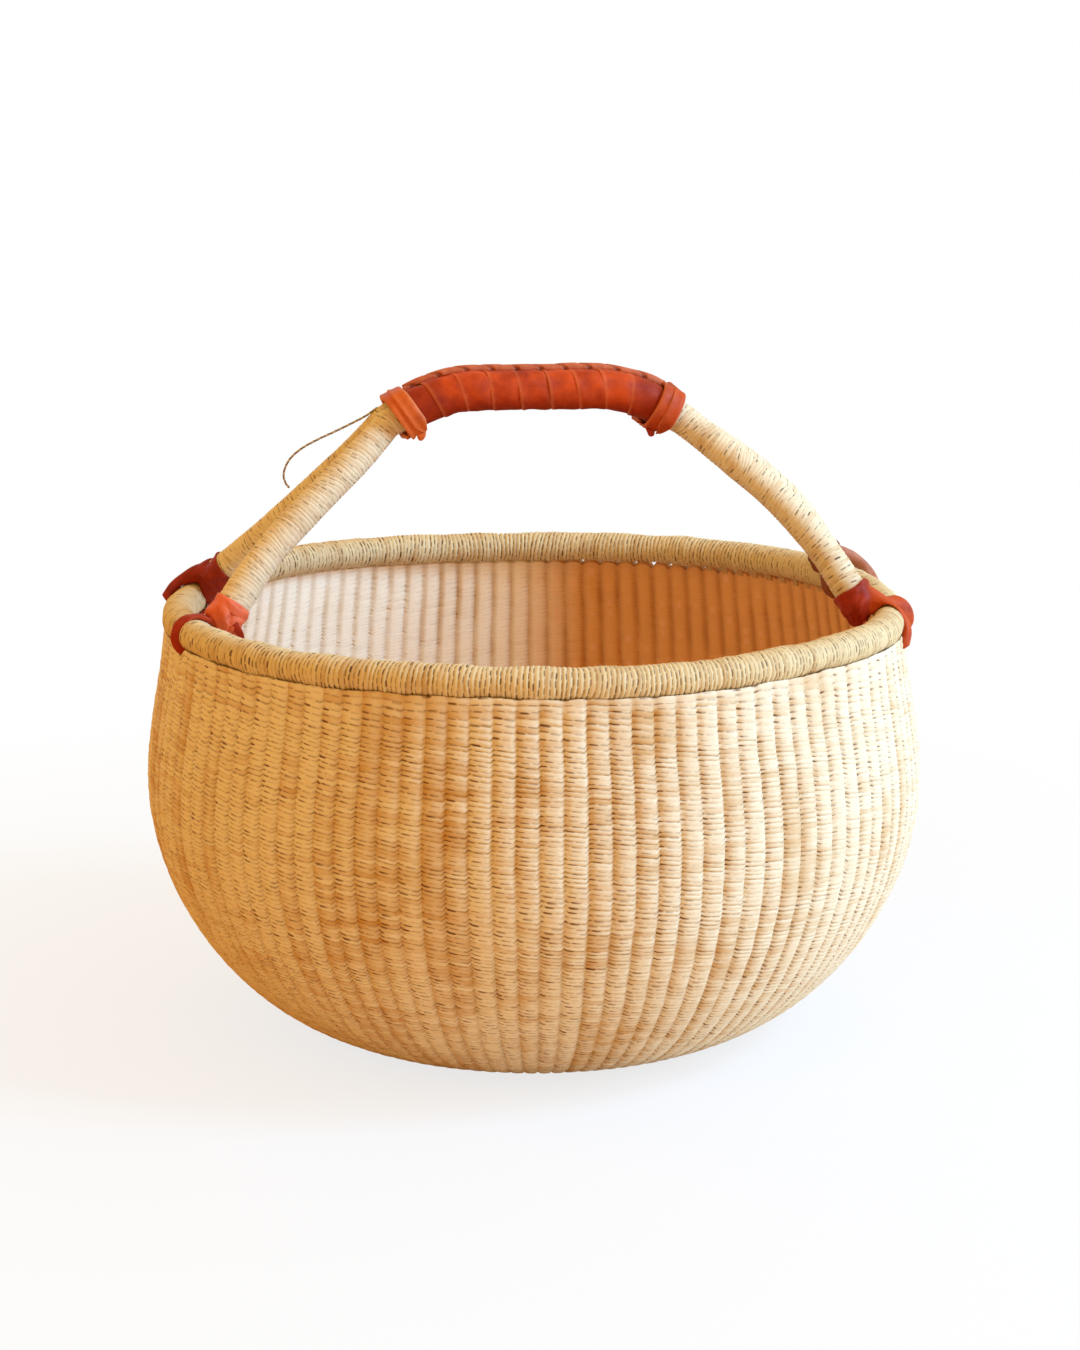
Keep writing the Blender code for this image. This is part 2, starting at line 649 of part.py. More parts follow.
def smooth_path(route, spacing):
    """Evenly spaced points on a smooth curve through the route's own points."""
    fine = []
    for i in range(len(route) - 1):
        before = route[max(i - 1, 0)]
        here = route[i]
        after = route[i + 1]
        beyond = route[min(i + 2, len(route) - 1)]
        for k in range(PATH_STEPS):
            t = k / PATH_STEPS
            fine.append(here + (after - before) * t / 2
                        + (before * 2 - here * 5 + after * 4 - beyond) * t ** 2 / 2
                        + (here * 3 - before - after * 3 + beyond) * t ** 3 / 2)
    fine.append(route[-1])
    total = sum((fine[i + 1] - fine[i]).length for i in range(len(fine) - 1))
    count = max(ceil(total / spacing), 2)
    points = [fine[0]]
    travelled = 0
    for i in range(len(fine) - 1):
        travelled += (fine[i + 1] - fine[i]).length
        if travelled >= total * len(points) / count and len(points) < count:
            points.append(fine[i + 1])
    points.append(fine[-1])
    return points


def build_string():
    """The thin twine loop on the left legs."""
    points = smooth_path([Vector(point) for point in STRING_ROUTE], STRING_POINT_SPACING)
    curve = bpy.data.curves.new("hang_string", "CURVE")
    curve.dimensions = "3D"
    curve.resolution_u = 1
    curve.render_resolution_u = 0
    curve.bevel_depth = STRING_RADIUS
    curve.bevel_resolution = 2
    curve.use_fill_caps = True
    spline = curve.splines.new("POLY")
    spline.points.add(len(points) - 1)
    for target, point in zip(spline.points, points):
        target.co = (*point, 1)
    curve.materials.append(twine_material("undyed_twine"))
    piece = bpy.data.objects.new("hang_string", curve)
    bpy.context.scene.collection.objects.link(piece)
    return piece


def main():
    """Clear the scene and build every piece of the basket."""
    for old in list(bpy.data.objects):
        bpy.data.objects.remove(old)
    build_base()
    build_wall()
    build_rim_core()
    build_rim_wrap()
    for label, side_y in (("front", -1), ("rear", 1)):
        build_handle_bundle(label, side_y)
    build_grip_winding()
    build_grip_lace()
    for side, side_x in (("left", -1), ("right", 1)):
        build_collar(side, side_x)
        for end, side_y in (("front", -1), ("rear", 1)):
            build_cuff(end + "_" + side, side_x, side_y)
            build_strap(end + "_" + side, side_x, side_y)
    build_string()


main()
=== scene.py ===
"""Looks of a round woven grass basket with a leather-bound handle.

Metres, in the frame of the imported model: +Z up, the origin at the centre of the base, X along
the handle, the front facing -Y.
"""

from functools import partial
from math import cos, pi, radians, sin

import bmesh
import bpy
import numpy as np
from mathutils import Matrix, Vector


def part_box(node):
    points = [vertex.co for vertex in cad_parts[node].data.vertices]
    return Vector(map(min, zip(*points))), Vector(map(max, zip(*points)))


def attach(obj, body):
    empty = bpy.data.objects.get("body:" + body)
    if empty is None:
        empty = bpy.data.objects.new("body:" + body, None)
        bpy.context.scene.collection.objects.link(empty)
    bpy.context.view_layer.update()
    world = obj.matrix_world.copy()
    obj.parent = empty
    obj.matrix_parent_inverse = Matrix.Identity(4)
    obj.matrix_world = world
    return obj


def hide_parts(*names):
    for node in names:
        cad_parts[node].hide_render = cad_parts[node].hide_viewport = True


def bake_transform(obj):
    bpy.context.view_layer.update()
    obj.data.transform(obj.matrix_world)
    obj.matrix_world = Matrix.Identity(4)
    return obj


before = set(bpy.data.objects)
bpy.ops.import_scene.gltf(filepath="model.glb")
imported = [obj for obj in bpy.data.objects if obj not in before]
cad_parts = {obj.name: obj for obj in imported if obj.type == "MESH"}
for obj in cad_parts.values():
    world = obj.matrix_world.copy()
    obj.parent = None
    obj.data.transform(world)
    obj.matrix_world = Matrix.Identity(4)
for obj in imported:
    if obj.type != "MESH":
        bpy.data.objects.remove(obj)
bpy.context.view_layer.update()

MM = 0.001

# Sizes read from the frame, where the base stands clear of the wall's foot
BASE_CLEARANCE = 0.0005
FOOT_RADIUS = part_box("woven_base")[1].x + BASE_CLEARANCE
BASE_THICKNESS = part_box("woven_base")[1].z
WALL_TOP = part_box("woven_wall")[1].z

# The bowl
BELLY_RADIUS = 0.2059
BELLY_HEIGHT = 0.134
NECK_RADIUS = 0.1946
WALL_THICKNESS = 0.006
# Pulls of the outline's two curves, as shares of what each spans
LOWER_OUT_SHARE = 0.54
LOWER_UP_SHARE = 0.52
UPPER_UP_SHARE = 0.25
UPPER_IN_SHARE = 0.72
UPPER_DOWN_SHARE = 0.55
STAKE_COUNT = 112
RIB_WIDTH = 2 * pi * BELLY_RADIUS / STAKE_COUNT
RIB_DEPTH = 0.0014
WEFT_COUNT = 115
WALL_BANDS = 5
WEFT_GROOVE = 0.00035
DEEP_WEFT_GROOVE = 0.0012
BAND_END_GROOVE = 0.0001
STITCH_UNEVENNESS = 0.00025
RIB_UNEVENNESS = 0.16
# How far a stitch slants and the wefts wander, in wefts
STITCH_SLANT = 0.3
GROOVE_SLANT = 0.32
WEFT_WANDER = 0.35
# Relief and rise of the inside, as shares of the outside's
INNER_RELIEF_SHARE = 0.8
INNER_RISE_SHARE = 0.55
SWAY_OUT = 0.0008
SWAY_UP = 0.0007
RIB_SWAY_TURN = 0.0012
# The last wefts climb against the rim
TOP_RISE = 0.0066
TOP_WEFTS = 7
# Half of a hole under the rim, as a share of a rib, and the turn where the holes stand open
HOLE_HALF_WIDTH = 0.3
OPEN_HOLES_TURN = radians(55)
# Half of a thong's way through the wall, as a turn
THONG_HALF_TURN = 0.03
RIB_SAMPLE_SHARES = (0, 0.13, 0.32, 0.5, 0.68, 0.87)
WEFT_SAMPLE_SHARES = (0, 0.3, 0.7)
INNER_WEFT_SAMPLE_SHARES = (0, 0.5)

# The rim
RIM_HEIGHT = 0.2225
RIM_RADIUS = 0.187
RIM_TUBE_RADIUS = 0.0083
RIM_STRANDS = 480
RIM_STRAND_GROOVE = 0.00062
RIM_STRAND_SHOULDER = 0.00016
RIM_STRAND_UNEVENNESS = 0.00028
RIM_SWELL = 0.0003
RIM_PROUD = 0.0002
STRAND_SAMPLE_SHARES = (0, 0.24, 0.5, 0.76)
RIM_STEPS_ROUND = 20
# Ribs of the grass pattern round a wound bundle
PATTERN_RIBS_ROUND = 6

# The handle's two grass bundles. A side is -1 at the left or front, and 1 at the right or rear
GRIP_HEIGHT = 0.3388
GRIP_STRAIGHT_LENGTH = 0.060
GRIP_BEND_RADIUS = 0.068
GRIP_BEND_ANGLE = radians(28)
LEG_TOP_SLOPES = {-1: radians(47), 1: radians(36)}
LEG_TOP_YAW = radians(20)
LEG_FOOT_SLOPES = {(-1, -1): radians(51), (-1, 1): radians(40),
                   (1, -1): radians(55), (1, 1): radians(52)}
LEG_FOOT_YAW = radians(27)
FOOT_ANGLE = 2 * pi * 5 / STAKE_COUNT
# How far each foot stands inwards of the rim's centre line and above it
FOOT_PLACES = {(-1, -1): (0.0130, 0.0045), (-1, 1): (0.0110, 0.0090),
               (1, -1): (0.0136, 0.0045), (1, 1): (0.0072, 0.0105)}
FOOT_STRAIGHT_LENGTH = 0.024
CUFF_FLOOR = 0.0025
LEG_RADIUS = 0.0085
BUNDLE_GAP = 0.0003
GRIP_BUNDLE_HALF_WIDTH = 0.0062
GRIP_BUNDLE_HALF_HEIGHT = 0.0080
# Over this length a leg's section goes from the grip's oval to round
SPREAD_LENGTH = 0.045
# A leg's curve starts this far past its collar
LEG_START_GAP = 0.0008
LEG_STRAND_PITCH = 0.0021
LEG_STRAND_GROOVE = 0.00020
LEG_STRAND_SHOULDER = 0.00008
LEG_STRAND_UNEVENNESS = 0.00010
LEG_SWELL = 0.00025
LEG_BINDING_THICKNESS = 0.0014
LEG_STEPS_ROUND = 16

# The leather
WINDING_LENGTH = 0.128
WINDING_PITCH = 0.0148
WINDING_TURNS = 8.6
WINDING_THICKNESS = 0.0009
WINDING_LAP = 0.0030
GRIP_CLEARANCE = 0.0008
COLLAR_LENGTH = 0.016
LACE_PITCH = 0.0128
LACE_HALF_WIDTH = 0.0023
LACE_HEIGHT = 0.0029
LACE_SEAT = 0.0006
LACE_OVERHANG = 0.0012
# How far round a turn the lace leans over the ridge
LACE_LEAN = 0.42
STRIP_SWAY = 0.0006
STRIP_CREASE = 0.00024
CUFF_CREASE = 0.0004
CUFF_FOLD = 0.0005
CUFF_LIP_SWAY = 0.0010
STRAP_THICKNESS = 0.0022
STRAP_TWIST = radians(52)
STRAP_NOSE_RADIUS = 0.0025
STRAP_CLEARANCE = 0.0004
# Round its nose a thong is thicker, over this length
NOSE_THICKENING = 0.0012
NOSE_LENGTH = 0.0075
THONG_CREASE = 0.00012

# The goatskins: each one's face, its deeper tone and its raw edge. Light and pale are copies of
# the skin in painted light, and dark, brown and rust copies in painted shade
HIDES = {
    "red": ("dyed_goatskin", "#C44610", "#801C06", "#D87A50"),
    "orange": ("dyed_goatskin_orange", "#CE6226", "#A03C12", "#E49A66"),
    "rust": ("goatskin_orange_painted_shade", "#B44414", "#86280A", "#DC8E62"),
    "light": ("goatskin_painted_light", "#DC6A44", "#A23416", "#EFA88A"),
    "dark": ("goatskin_painted_shade", "#9C2A0C", "#661504", "#B85434"),
    "warm": ("dyed_goatskin_warm", "#B64618", "#80260E", "#D8784E"),
    "brown": ("goatskin_painted_deep_shade", "#86482C", "#5A2A14", "#A8704E"),
    "pale": ("goatskin_painted_pale_light", "#B47A62", "#904A34", "#D4A692"),
}

# The four feet, each with its cuff, thong and hides. A loose end hangs from one of the cuffs, and
# tail gives its root and tip. A cuff, thong or drawn-out leather in light takes a hide in painted
# light, and one in shade a hide in painted shade
FEET = (
    {"label": "front_left", "sides": (-1, -1), "hide": "light", "thong_hide": "dark",
     "cuff": {"pleats": 3, "gather": 0.0011, "length": 0.0125, "tip": 0.0055, "lean": -0.0035},
     "thong": {"width": 0.0050, "root_width": 0.0090, "slack": 0.0014, "lift": 0.0},
     "tail": ((-0.1603, -0.0555, 0.2293), (-0.1558, -0.0541, 0.2199))},
    {"label": "rear_left", "sides": (-1, 1), "hide": "dark", "thong_hide": "dark", "flap_hide": "dark",
     "cuff": {"pleats": 2, "gather": 0.0004, "length": 0.0122, "tip": 0.0028, "lean": 0.0010},
     "thong": {"width": 0.0060, "root_width": 0.0080, "slack": 0.0016, "lift": 0.0003}},
    {"label": "front_right", "sides": (1, -1), "hide": "dark", "thong_hide": "warm", "flap_hide": "warm",
     "cuff": {"pleats": 3, "gather": 0.0008, "length": 0.0112, "tip": 0.0085, "lean": -0.0045},
     "thong": {"width": 0.0068, "root_width": 0.0090, "slack": 0.0014, "lift": 0.0002}},
    {"label": "rear_right", "sides": (1, 1), "hide": "brown", "thong_hide": "brown", "flap_hide": "pale",
     "cuff": {"pleats": 2, "gather": 0.0005, "length": 0.0085, "tip": 0.0006, "lean": 0.0010},
     "thong": {"width": 0.0060, "root_width": 0.0080, "slack": 0.0016, "lift": 0.0003}},
)

# The leather drawn out from three cuffs, in mm: its upper and lower edge as points inwards from the
# rim's centre line and above it, and its shifts and half widths along the rim
DRAWN_OUT = {
    "rear_left": {
        "upper": ((16.6, 20.5), (11.0, 21.5), (3.5, 18.2), (-3.6, 14.2), (-10.2, 8.8), (-14.2, 2.4)),
        "lower": ((16.1, 3.6), (7.4, -4.5), (4.0, 6.8), (-3.5, 6.8), (-8.0, 3.5), (-9.5, -3.0)),
        "shifts": (0, 0, 1, 4, 8, 12), "half_widths": (8.2, 7.2, 5.6, 3.8, 3.2, 2.6)},
    "front_right": {
        "upper": ((15.8, 17.3), (8.5, 15.9), (0.5, 11.2), (-7.0, 6.3), (-12.6, -2.8), (-12.0, -12.8)),
        "lower": ((15.3, 2.0), (8.3, 1.0), (2.0, 7.2), (-4.5, 6.0), (-7.4, -3.0), (-6.0, -15.5)),
        "shifts": (0, 0, -2, -5, -9, -13), "half_widths": (7.6, 6.4, 5.2, 4.4, 4.0, 3.4)},
    "rear_right": {
        "upper": ((13.0, 19.0), (6.5, 21.0), (-2.0, 18.0), (-8.6, 11.8), (-12.4, 4.2), (-12.6, -3.8)),
        "lower": ((10.0, 8.0), (3.5, 9.2), (-3.0, 7.2), (-6.0, 5.0), (-8.2, -1.5), (-8.6, -6.0)),
        "shifts": (0, -2, -7, -12, -17, -22), "half_widths": (8.0, 6.6, 4.4, 3.2, 2.8, 2.4)},
}

# The twine loop on the left legs, through these points
STRING_RADIUS = 0.0006
STRING_LAY = 0.0042
STRING_ROUTE = (
    (-0.0819, 0.0055, 0.3296),
    (-0.0878, 0.0062, 0.3253),
    (-0.0951, 0.0073, 0.3214),
    (-0.1035, 0.0085, 0.3172),
    (-0.1121, 0.0102, 0.3131),
    (-0.1207, 0.0125, 0.3082),
    (-0.1267, 0.0150, 0.3029),
    (-0.1299, 0.0172, 0.2974),
    (-0.1309, 0.0190, 0.2923),
    (-0.1297, 0.0212, 0.2880),
    (-0.1280, 0.0230, 0.2854),
)

# Strength of the studio's even light on the object, where white as it is seen has 1
SOFT_STRENGTH = 1.087

# Sizes of the patterns in the grass. Its fibres are finer than this and far longer: they are drawn
# as coarse as they have to be to break up the colour of a strand
PATCH_SIZE = 45.5 * MM
STRAND_TONE_LENGTH = 33 * MM
FIBRE_LENGTH = 2.83 * MM
FIBRE_WIDTH = 0.1087 * MM
DASHES_PER_RIB = 2.0

# Sizes of the patterns in the leather. Goatskin's pebbles are half as wide as this grain, which is
# drawn coarser to show
MOTTLE_SIZE = 7.7 * MM
BROAD_MOTTLE_SIZE = 22.2 * MM
LACE_MOTTLE_SIZE = 3.85 * MM
WRINKLE_SIZE = 4.17 * MM
GRAIN_SIZE = 0.91 * MM

# A stem in the cores
STEM_SIZE = 1.11 * MM


# Helpers for meshes

def formed_grid(name, columns, rows, form, flip=False):
    """A grid bent into a skin, with its meeting edges welded.

    Form takes each vertex's column and row number, as arrays, and gives its point and its
    place in the pattern, which becomes the UV map.
    """
    bm = bmesh.new()
    bm.loops.layers.uv.new("UVMap")
    bmesh.ops.create_grid(bm, x_segments=columns, y_segments=rows, size=0.5, calc_uvs=True)
    mesh = bpy.data.meshes.new(name)
    bm.to_mesh(mesh)
    bm.free()
    count = len(mesh.vertices)
    flat = np.empty(count * 3, np.float32)
    mesh.vertices.foreach_get("co", flat)
    places = np.rint((flat.reshape(-1, 3)[:, :2] + 0.5) * (columns, rows)).astype(int)
    points, pattern = form(places[:, 0], places[:, 1])
    mesh.vertices.foreach_set("co", points.astype(np.float32).ravel())
    corners = np.empty(len(mesh.loops), np.int32)
    mesh.loops.foreach_get("vertex_index", corners)
    mesh.uv_layers[0].data.foreach_set("uv", pattern[corners].astype(np.float32).ravel())
    bm = bmesh.new()
    bm.from_mesh(mesh)
    bmesh.ops.remove_doubles(bm, verts=bm.verts, dist=0.00001)
    bmesh.ops.holes_fill(bm, edges=[edge for edge in bm.edges if edge.is_boundary], sides=0)
    if flip:
        bmesh.ops.reverse_faces(bm, faces=bm.faces)
    bm.to_mesh(mesh)
    bm.free()
    mesh.shade_smooth()
    piece = bpy.data.objects.new(name, mesh)
    bpy.context.scene.collection.objects.link(piece)
    return piece


def drift(seed, waves, reach, *coordinates):
    """Smooth noise of about -1 to 1: waves added up over coordinates, up to reach cycles a unit."""
    own = np.random.default_rng(seed)
    total = 0
    for _ in range(waves):
        cycles = own.uniform(-reach, reach, len(coordinates))
        phase = own.uniform(0, 2 * pi)
        total = total + np.sin(2 * pi * sum(c * x for c, x in zip(cycles, coordinates)) + phase)
    return total / np.sqrt(waves)


def round_drift(seed, lowest, highest, turn):
    """Smooth noise of about -1 to 1 that meets itself after a full turn."""
    own = np.random.default_rng(seed)
    total = 0
    for cycles in range(lowest, highest + 1):
        total = total + own.normal() * np.sin(cycles * turn + own.uniform(0, 2 * pi))
    return total / np.sqrt(highest - lowest + 1)


def stack(*columns):
    """Coordinates side by side, one row for each vertex."""
    return np.column_stack(np.broadcast_arrays(*columns))


def smooth_step(value):
    """0 below 0, 1 above 1 and an even S between."""
    t = np.clip(value, 0, 1)
    return t * t * (3 - 2 * t)


def squared_off(value, power):
    """A sine or cosine to a power, with its sign kept: under 1, the power squares an oval off."""
    return np.sign(value) * np.abs(value) ** power


def unit(vectors):
    """The vectors at a length of 1."""
    return vectors / np.linalg.norm(vectors, axis=-1, keepdims=True)


def runs_along(points):
    """How far along a path each of its points lies."""
    spans = np.linalg.norm(np.diff(points, axis=0), axis=1)
    return np.concatenate([[0], np.cumsum(spans)])


def about_axis(radius, turn, height):
    """Points at these radii, turns and heights about the basket's upright axis."""
    return stack(radius * np.cos(turn), radius * np.sin(turn), height)


# Helpers for materials

# A MapRange node's setting for an even S. A Mix node of colours takes its share at input 0 and
# its two colours at inputs 6 and 7, and gives the mixed colour at output 2
SMOOTH = {"interpolation_type": "SMOOTHSTEP"}


def linear(hex_colour):
    """An sRGB hex colour as linear RGBA."""
    parts = [int(hex_colour[i:i + 2], 16) / 255 for i in (1, 3, 5)]
    return tuple(c / 12.92 if c <= 0.04045 else ((c + 0.055) / 1.055) ** 2.4 for c in parts) + (1.0,)


def fill_inputs(tree, node, inputs):
    """Give a node's inputs, by name or number, their values or links."""
    for key, value in inputs.items():
        if isinstance(value, bpy.types.NodeSocket):
            tree.links.new(value, node.inputs[key])
        else:
            node.inputs[key].default_value = value


def add_node(tree, kind, inputs=(), **settings):
    """Add a node with its settings and inputs, and return its outputs.

    Inputs are given by name or number, or one after another from the first.
    """
    node = tree.nodes.new("ShaderNode" + kind)
    for name, value in settings.items():
        setattr(node, name, value)
    fill_inputs(tree, node, inputs if isinstance(inputs, dict) else dict(enumerate(inputs)))
    return node.outputs


def new_material(name):
    """A material with only its shader, and the call that adds nodes to it."""
    material = bpy.data.materials.new(name)
    material.use_nodes = True
    return material, partial(add_node, material.node_tree)


def set_shader(material, **inputs):
    """Give a material's shader its inputs, named with low lines for spaces."""
    shader = material.node_tree.nodes["Principled BSDF"]
    named = {key.replace("_", " "): value for key, value in inputs.items()}
    fill_inputs(material.node_tree, shader, named)


def from_cell_middle(add, value):
    """How far a value is from the middle of its whole number: 0 there and 1 at both ends."""
    share = add("Math", [value], operation="FRACT")[0]
    centred = add("Math", [share, 2.0, -1.0], operation="MULTIPLY_ADD")[0]
    return add("Math", [centred], operation="ABSOLUTE")[0]


# Grass

class GrassPlaces:
    """Where a point of woven or wound grass lies.

    The UV map counts ribs across and strands along. Below zero it is the inside of the bowl.
    """

    def __init__(self, add):
        self.uv = add("UVMap", uv_map="UVMap")[0]
        parts = add("SeparateXYZ", [self.uv])
        self.across = parts[0]
        self.along = parts[1]
        self.on_object = add("TexCoord")["Object"]
        self.x = add("SeparateXYZ", [self.on_object])[0]
        self.outside = add("Math", [self.along, 0.0], operation="GREATER_THAN")[0]
        self.inside = add("Math", [1.0, self.outside], operation="SUBTRACT")[0]
        self.rib = add("Math", [self.across], operation="FLOOR")[0]
        self.from_crest = from_cell_middle(add, self.across)
        on_rib = add("Math", [self.across], operation="FRACT")[0]
        self.right_of_rib = add("MapRange", [on_rib, 0.3, 0.65], **SMOOTH)[0]
        self.patches = add("TexNoise", {"Vector": self.on_object, "Scale": 1 / PATCH_SIZE,
                                        "Detail": 3.0})[0]
        fibre_counts = (RIB_WIDTH / FIBRE_LENGTH, WEFT_HEIGHT / FIBRE_WIDTH, 1.0)
        fibre_place = add("VectorMath", [self.uv, fibre_counts], operation="MULTIPLY")[0]
        self.fibres = add("TexNoise", {"Vector": fibre_place, "Scale": 1.0, "Detail": 3.0,
                                       "Roughness": 0.7})[0]


def grass_tone(add, at, lit_right, rib_shading, side_gaps):
    """How brown the grass is: 0 on bare crests, 1 where ribs, strands or patches are dull or where
    painted shade lies; painted light makes it paler.
    """
    whole_rib = add("TexWhiteNoise", {"W": at.rib}, noise_dimensions="1D")[0]
    strand_run = add("Math", [at.across, RIB_WIDTH / STRAND_TONE_LENGTH], operation="MULTIPLY")[0]
    strand = add("Math", [at.along], operation="FLOOR")[0]
    # Far enough apart for each strand to have a tone of its own
    strand_apart = add("Math", [strand, 7.3], operation="MULTIPLY")[0]
    strand_place = add("CombineXYZ", [strand_run, strand_apart])[0]
    strand_tone = add("TexNoise", {"Vector": strand_place, "Scale": 1.0, "Detail": 1.0},
                      noise_dimensions="2D")[0]
    # Painted shade: the sides of a rib are browner than its crest
    shaded = add("MapRange", [at.from_crest, 0.25, 1.0], **SMOOTH)[0]
    tone = add("Math", [shaded, rib_shading], operation="MULTIPLY")[0]
    # Painted shade: on the wall, the left of each rib is browner
    left_of_rib = add("Math", [1.0, at.right_of_rib], operation="SUBTRACT")[0]
    tone = add("Math", [left_of_rib, 0.28 * side_gaps, tone], operation="MULTIPLY_ADD")[0]
    rib_change = add("Math", [whole_rib, 0.5], operation="SUBTRACT")[0]
    tone = add("Math", [rib_change, 1.3 * side_gaps, tone], operation="MULTIPLY_ADD")[0]
    for noise, reach in ((at.patches, 1.5), (strand_tone, 1.2), (at.fibres, 0.8)):
        change = add("Math", [noise, reach, 0.01 - reach / 2], operation="MULTIPLY_ADD")[0]
        tone = add("Math", [tone, change], operation="ADD", use_clamp=True)[0]
    # Painted light: the grass is paler towards the right of the bowl
    paler_in_light = add("Math", [lit_right, -0.25, 1.0], operation="MULTIPLY_ADD")[0]
    tone = add("Math", [tone, paler_in_light], operation="MULTIPLY")[0]
    # Painted light: the inside keeps little of this tone, so it is paler
    kept = add("Math", [at.outside, 0.85, 0.15], operation="MULTIPLY_ADD")[0]
    tone = add("Math", [tone, kept], operation="MULTIPLY")[0]
    # Painted shade: inside, brown lies between the ribs, in patches
    groove = add("MapRange", [at.from_crest, 0.3, 1.0], **SMOOTH)[0]
    groove_shade = add("Math", [at.patches, 1.2, -0.25], operation="MULTIPLY_ADD")[0]
    shade_between_ribs = add("Math", [groove, groove_shade], operation="MULTIPLY")[0]
    return add("Math", [shade_between_ribs, at.inside, tone], operation="MULTIPLY_ADD")[0]


def gap_shade_share(add, at, lit_right, depth, side_gaps, sparse, steady):
    """Painted shade in the gap between two strands: broken dashes, each with its own place and strength.
    """
    nearest_gap = add("Math", [at.along, 0.5], operation="ADD")[0]
    row = add("Math", [nearest_gap], operation="FLOOR")[0]
    row_shift = add("TexWhiteNoise", {"W": row}, noise_dimensions="1D")[0]
    run = add("Math", [at.across, DASHES_PER_RIB, row_shift], operation="MULTIPLY_ADD")[0]
    dash = add("Math", [run], operation="FLOOR")[0]
    cell = add("CombineXYZ", [dash, row])[0]
    chance = add("TexWhiteNoise", {"Vector": cell}, noise_dimensions="2D")
    own = add("SeparateXYZ", [chance["Color"]])
    shift = add("Math", [own[0], 0.3, -0.15], operation="MULTIPLY_ADD")[0]
    shifted = add("Math", [at.along, shift], operation="ADD")[0]
    from_strand_middle = from_cell_middle(add, shifted)
    dash_end = add("MapRange", [from_cell_middle(add, run), 0.5, 1.0], **SMOOTH)[0]
    taper = add("Math", [dash_end, 0.25], operation="MULTIPLY")[0]
    thinner = add("Math", [own[1], 0.25, taper], operation="MULTIPLY_ADD")[0]
    edge = add("Math", [from_strand_middle, thinner], operation="SUBTRACT")[0]
    dark = add("MapRange", [edge, 0.45, 0.85], **SMOOTH)[0]
    broken = add("MapRange", [chance["Value"], sparse - 0.15, sparse + 0.25], **SMOOTH)[0]
    # Painted light thins the painted shade: on the right of each rib, on the crests towards the right of
    # the bowl, and inside
    on_crest = add("MapRange", [at.from_crest, 0.85, 0.45], **SMOOTH)[0]
    lit_crest = add("Math", [on_crest, lit_right], operation="MULTIPLY")[0]
    for share, reach, base in ((at.right_of_rib, -side_gaps, 1.0), (broken, depth - steady, steady),
                               (lit_crest, -0.8, 1.0), (at.outside, 0.8, 0.2), (own[2], 0.45, 0.6)):
        kept = add("Math", [share, reach, base], operation="MULTIPLY_ADD")[0]
        dark = add("Math", [dark, kept], operation="MULTIPLY")[0]
    return dark


def shade_inside_right(add, at, colour):
    """Warm painted shade on the right of the bowl's inside, with painted highlights on single stitches.
    """
    right = add("MapRange", [at.x, 0.0, 0.06], **SMOOTH)[0]
    shaded_right = add("Math", [at.inside, right], operation="MULTIPLY")[0]
    colour = add("Mix", {0: shaded_right, 6: colour, 7: linear("#E3AE74")}, data_type="RGBA",
                 blend_type="MULTIPLY")[2]
    run = add("Math", [at.along, 0.4], operation="MULTIPLY")[0]
    stitch = add("Math", [run], operation="FLOOR")[0]
    cell = add("CombineXYZ", [at.rib, stitch])[0]
    chance = add("TexWhiteNoise", {"Vector": cell}, noise_dimensions="2D")[0]
    from_middle = from_cell_middle(add, run)
    # Painted highlights: single stitch crests stay pale in the painted shade
    pale = add("Math", [shaded_right, 0.6], operation="MULTIPLY")[0]
    for value, low, high in ((at.from_crest, 0.45, 0.1), (chance, 0.62, 0.95), (from_middle, 0.9, 0.4)):
        share = add("MapRange", [value, low, high], **SMOOTH)[0]
        pale = add("Math", [pale, share], operation="MULTIPLY")[0]
    return add("Mix", {0: pale, 6: colour, 7: linear("#F0B488")}, data_type="RGBA")[2]


def grass_material(name, crest, flank, gap, rib_shading, gap_depth, side_gaps, sparse, steady):
    """Twisted elephant grass, dried, split and wound or woven: dull golden straw.

    Each strand has its own tone. Painted shade makes the sides of a rib browner than its crest,
    and the gaps between strands are dashes of painted shade. Side_gaps gathers the painted brown
    and dashes on the left of each rib, sparse leaves more dashes out, and steady keeps a line
    between them. Towards the right of the bowl painted light makes the grass paler, with few
    dashes on the crests. The inside is painted paler, as painted light, with painted shade
    between its ribs and on its right, where single stitches keep painted highlights.
    """
    material, add = new_material(name)
    at = GrassPlaces(add)
    # Painted light: towards the right of the bowl the grass is paler, with few dashes on its crests
    right = add("MapRange", [at.x, -0.03, 0.14], **SMOOTH)[0]
    lit_right = add("Math", [right, min(side_gaps * 2, 1)], operation="MULTIPLY")[0]
    tone = grass_tone(add, at, lit_right, rib_shading, side_gaps)
    # Painted light: inside, the crest colour is a paler cream
    crest_with_lit_inside = add("Mix", {0: at.outside, 6: linear("#FFF4DC"), 7: linear(crest)}, data_type="RGBA")[2]
    colour = add("Mix", {0: tone, 6: crest_with_lit_inside, 7: linear(flank)}, data_type="RGBA")[2]
    dark = gap_shade_share(add, at, lit_right, gap_depth, side_gaps, sparse, steady)
    colour = add("Mix", {0: dark, 6: colour, 7: linear(gap)}, data_type="RGBA")[2]
    colour = shade_inside_right(add, at, colour)
    bump = add("Bump", {"Height": at.fibres, "Strength": 0.35, "Distance": 0.25 * MM})[0]
    set_shader(material, Base_Color=colour, Normal=bump, Roughness=0.62, Specular_IOR_Level=0.35)
    return material


# Leather, twine and stems

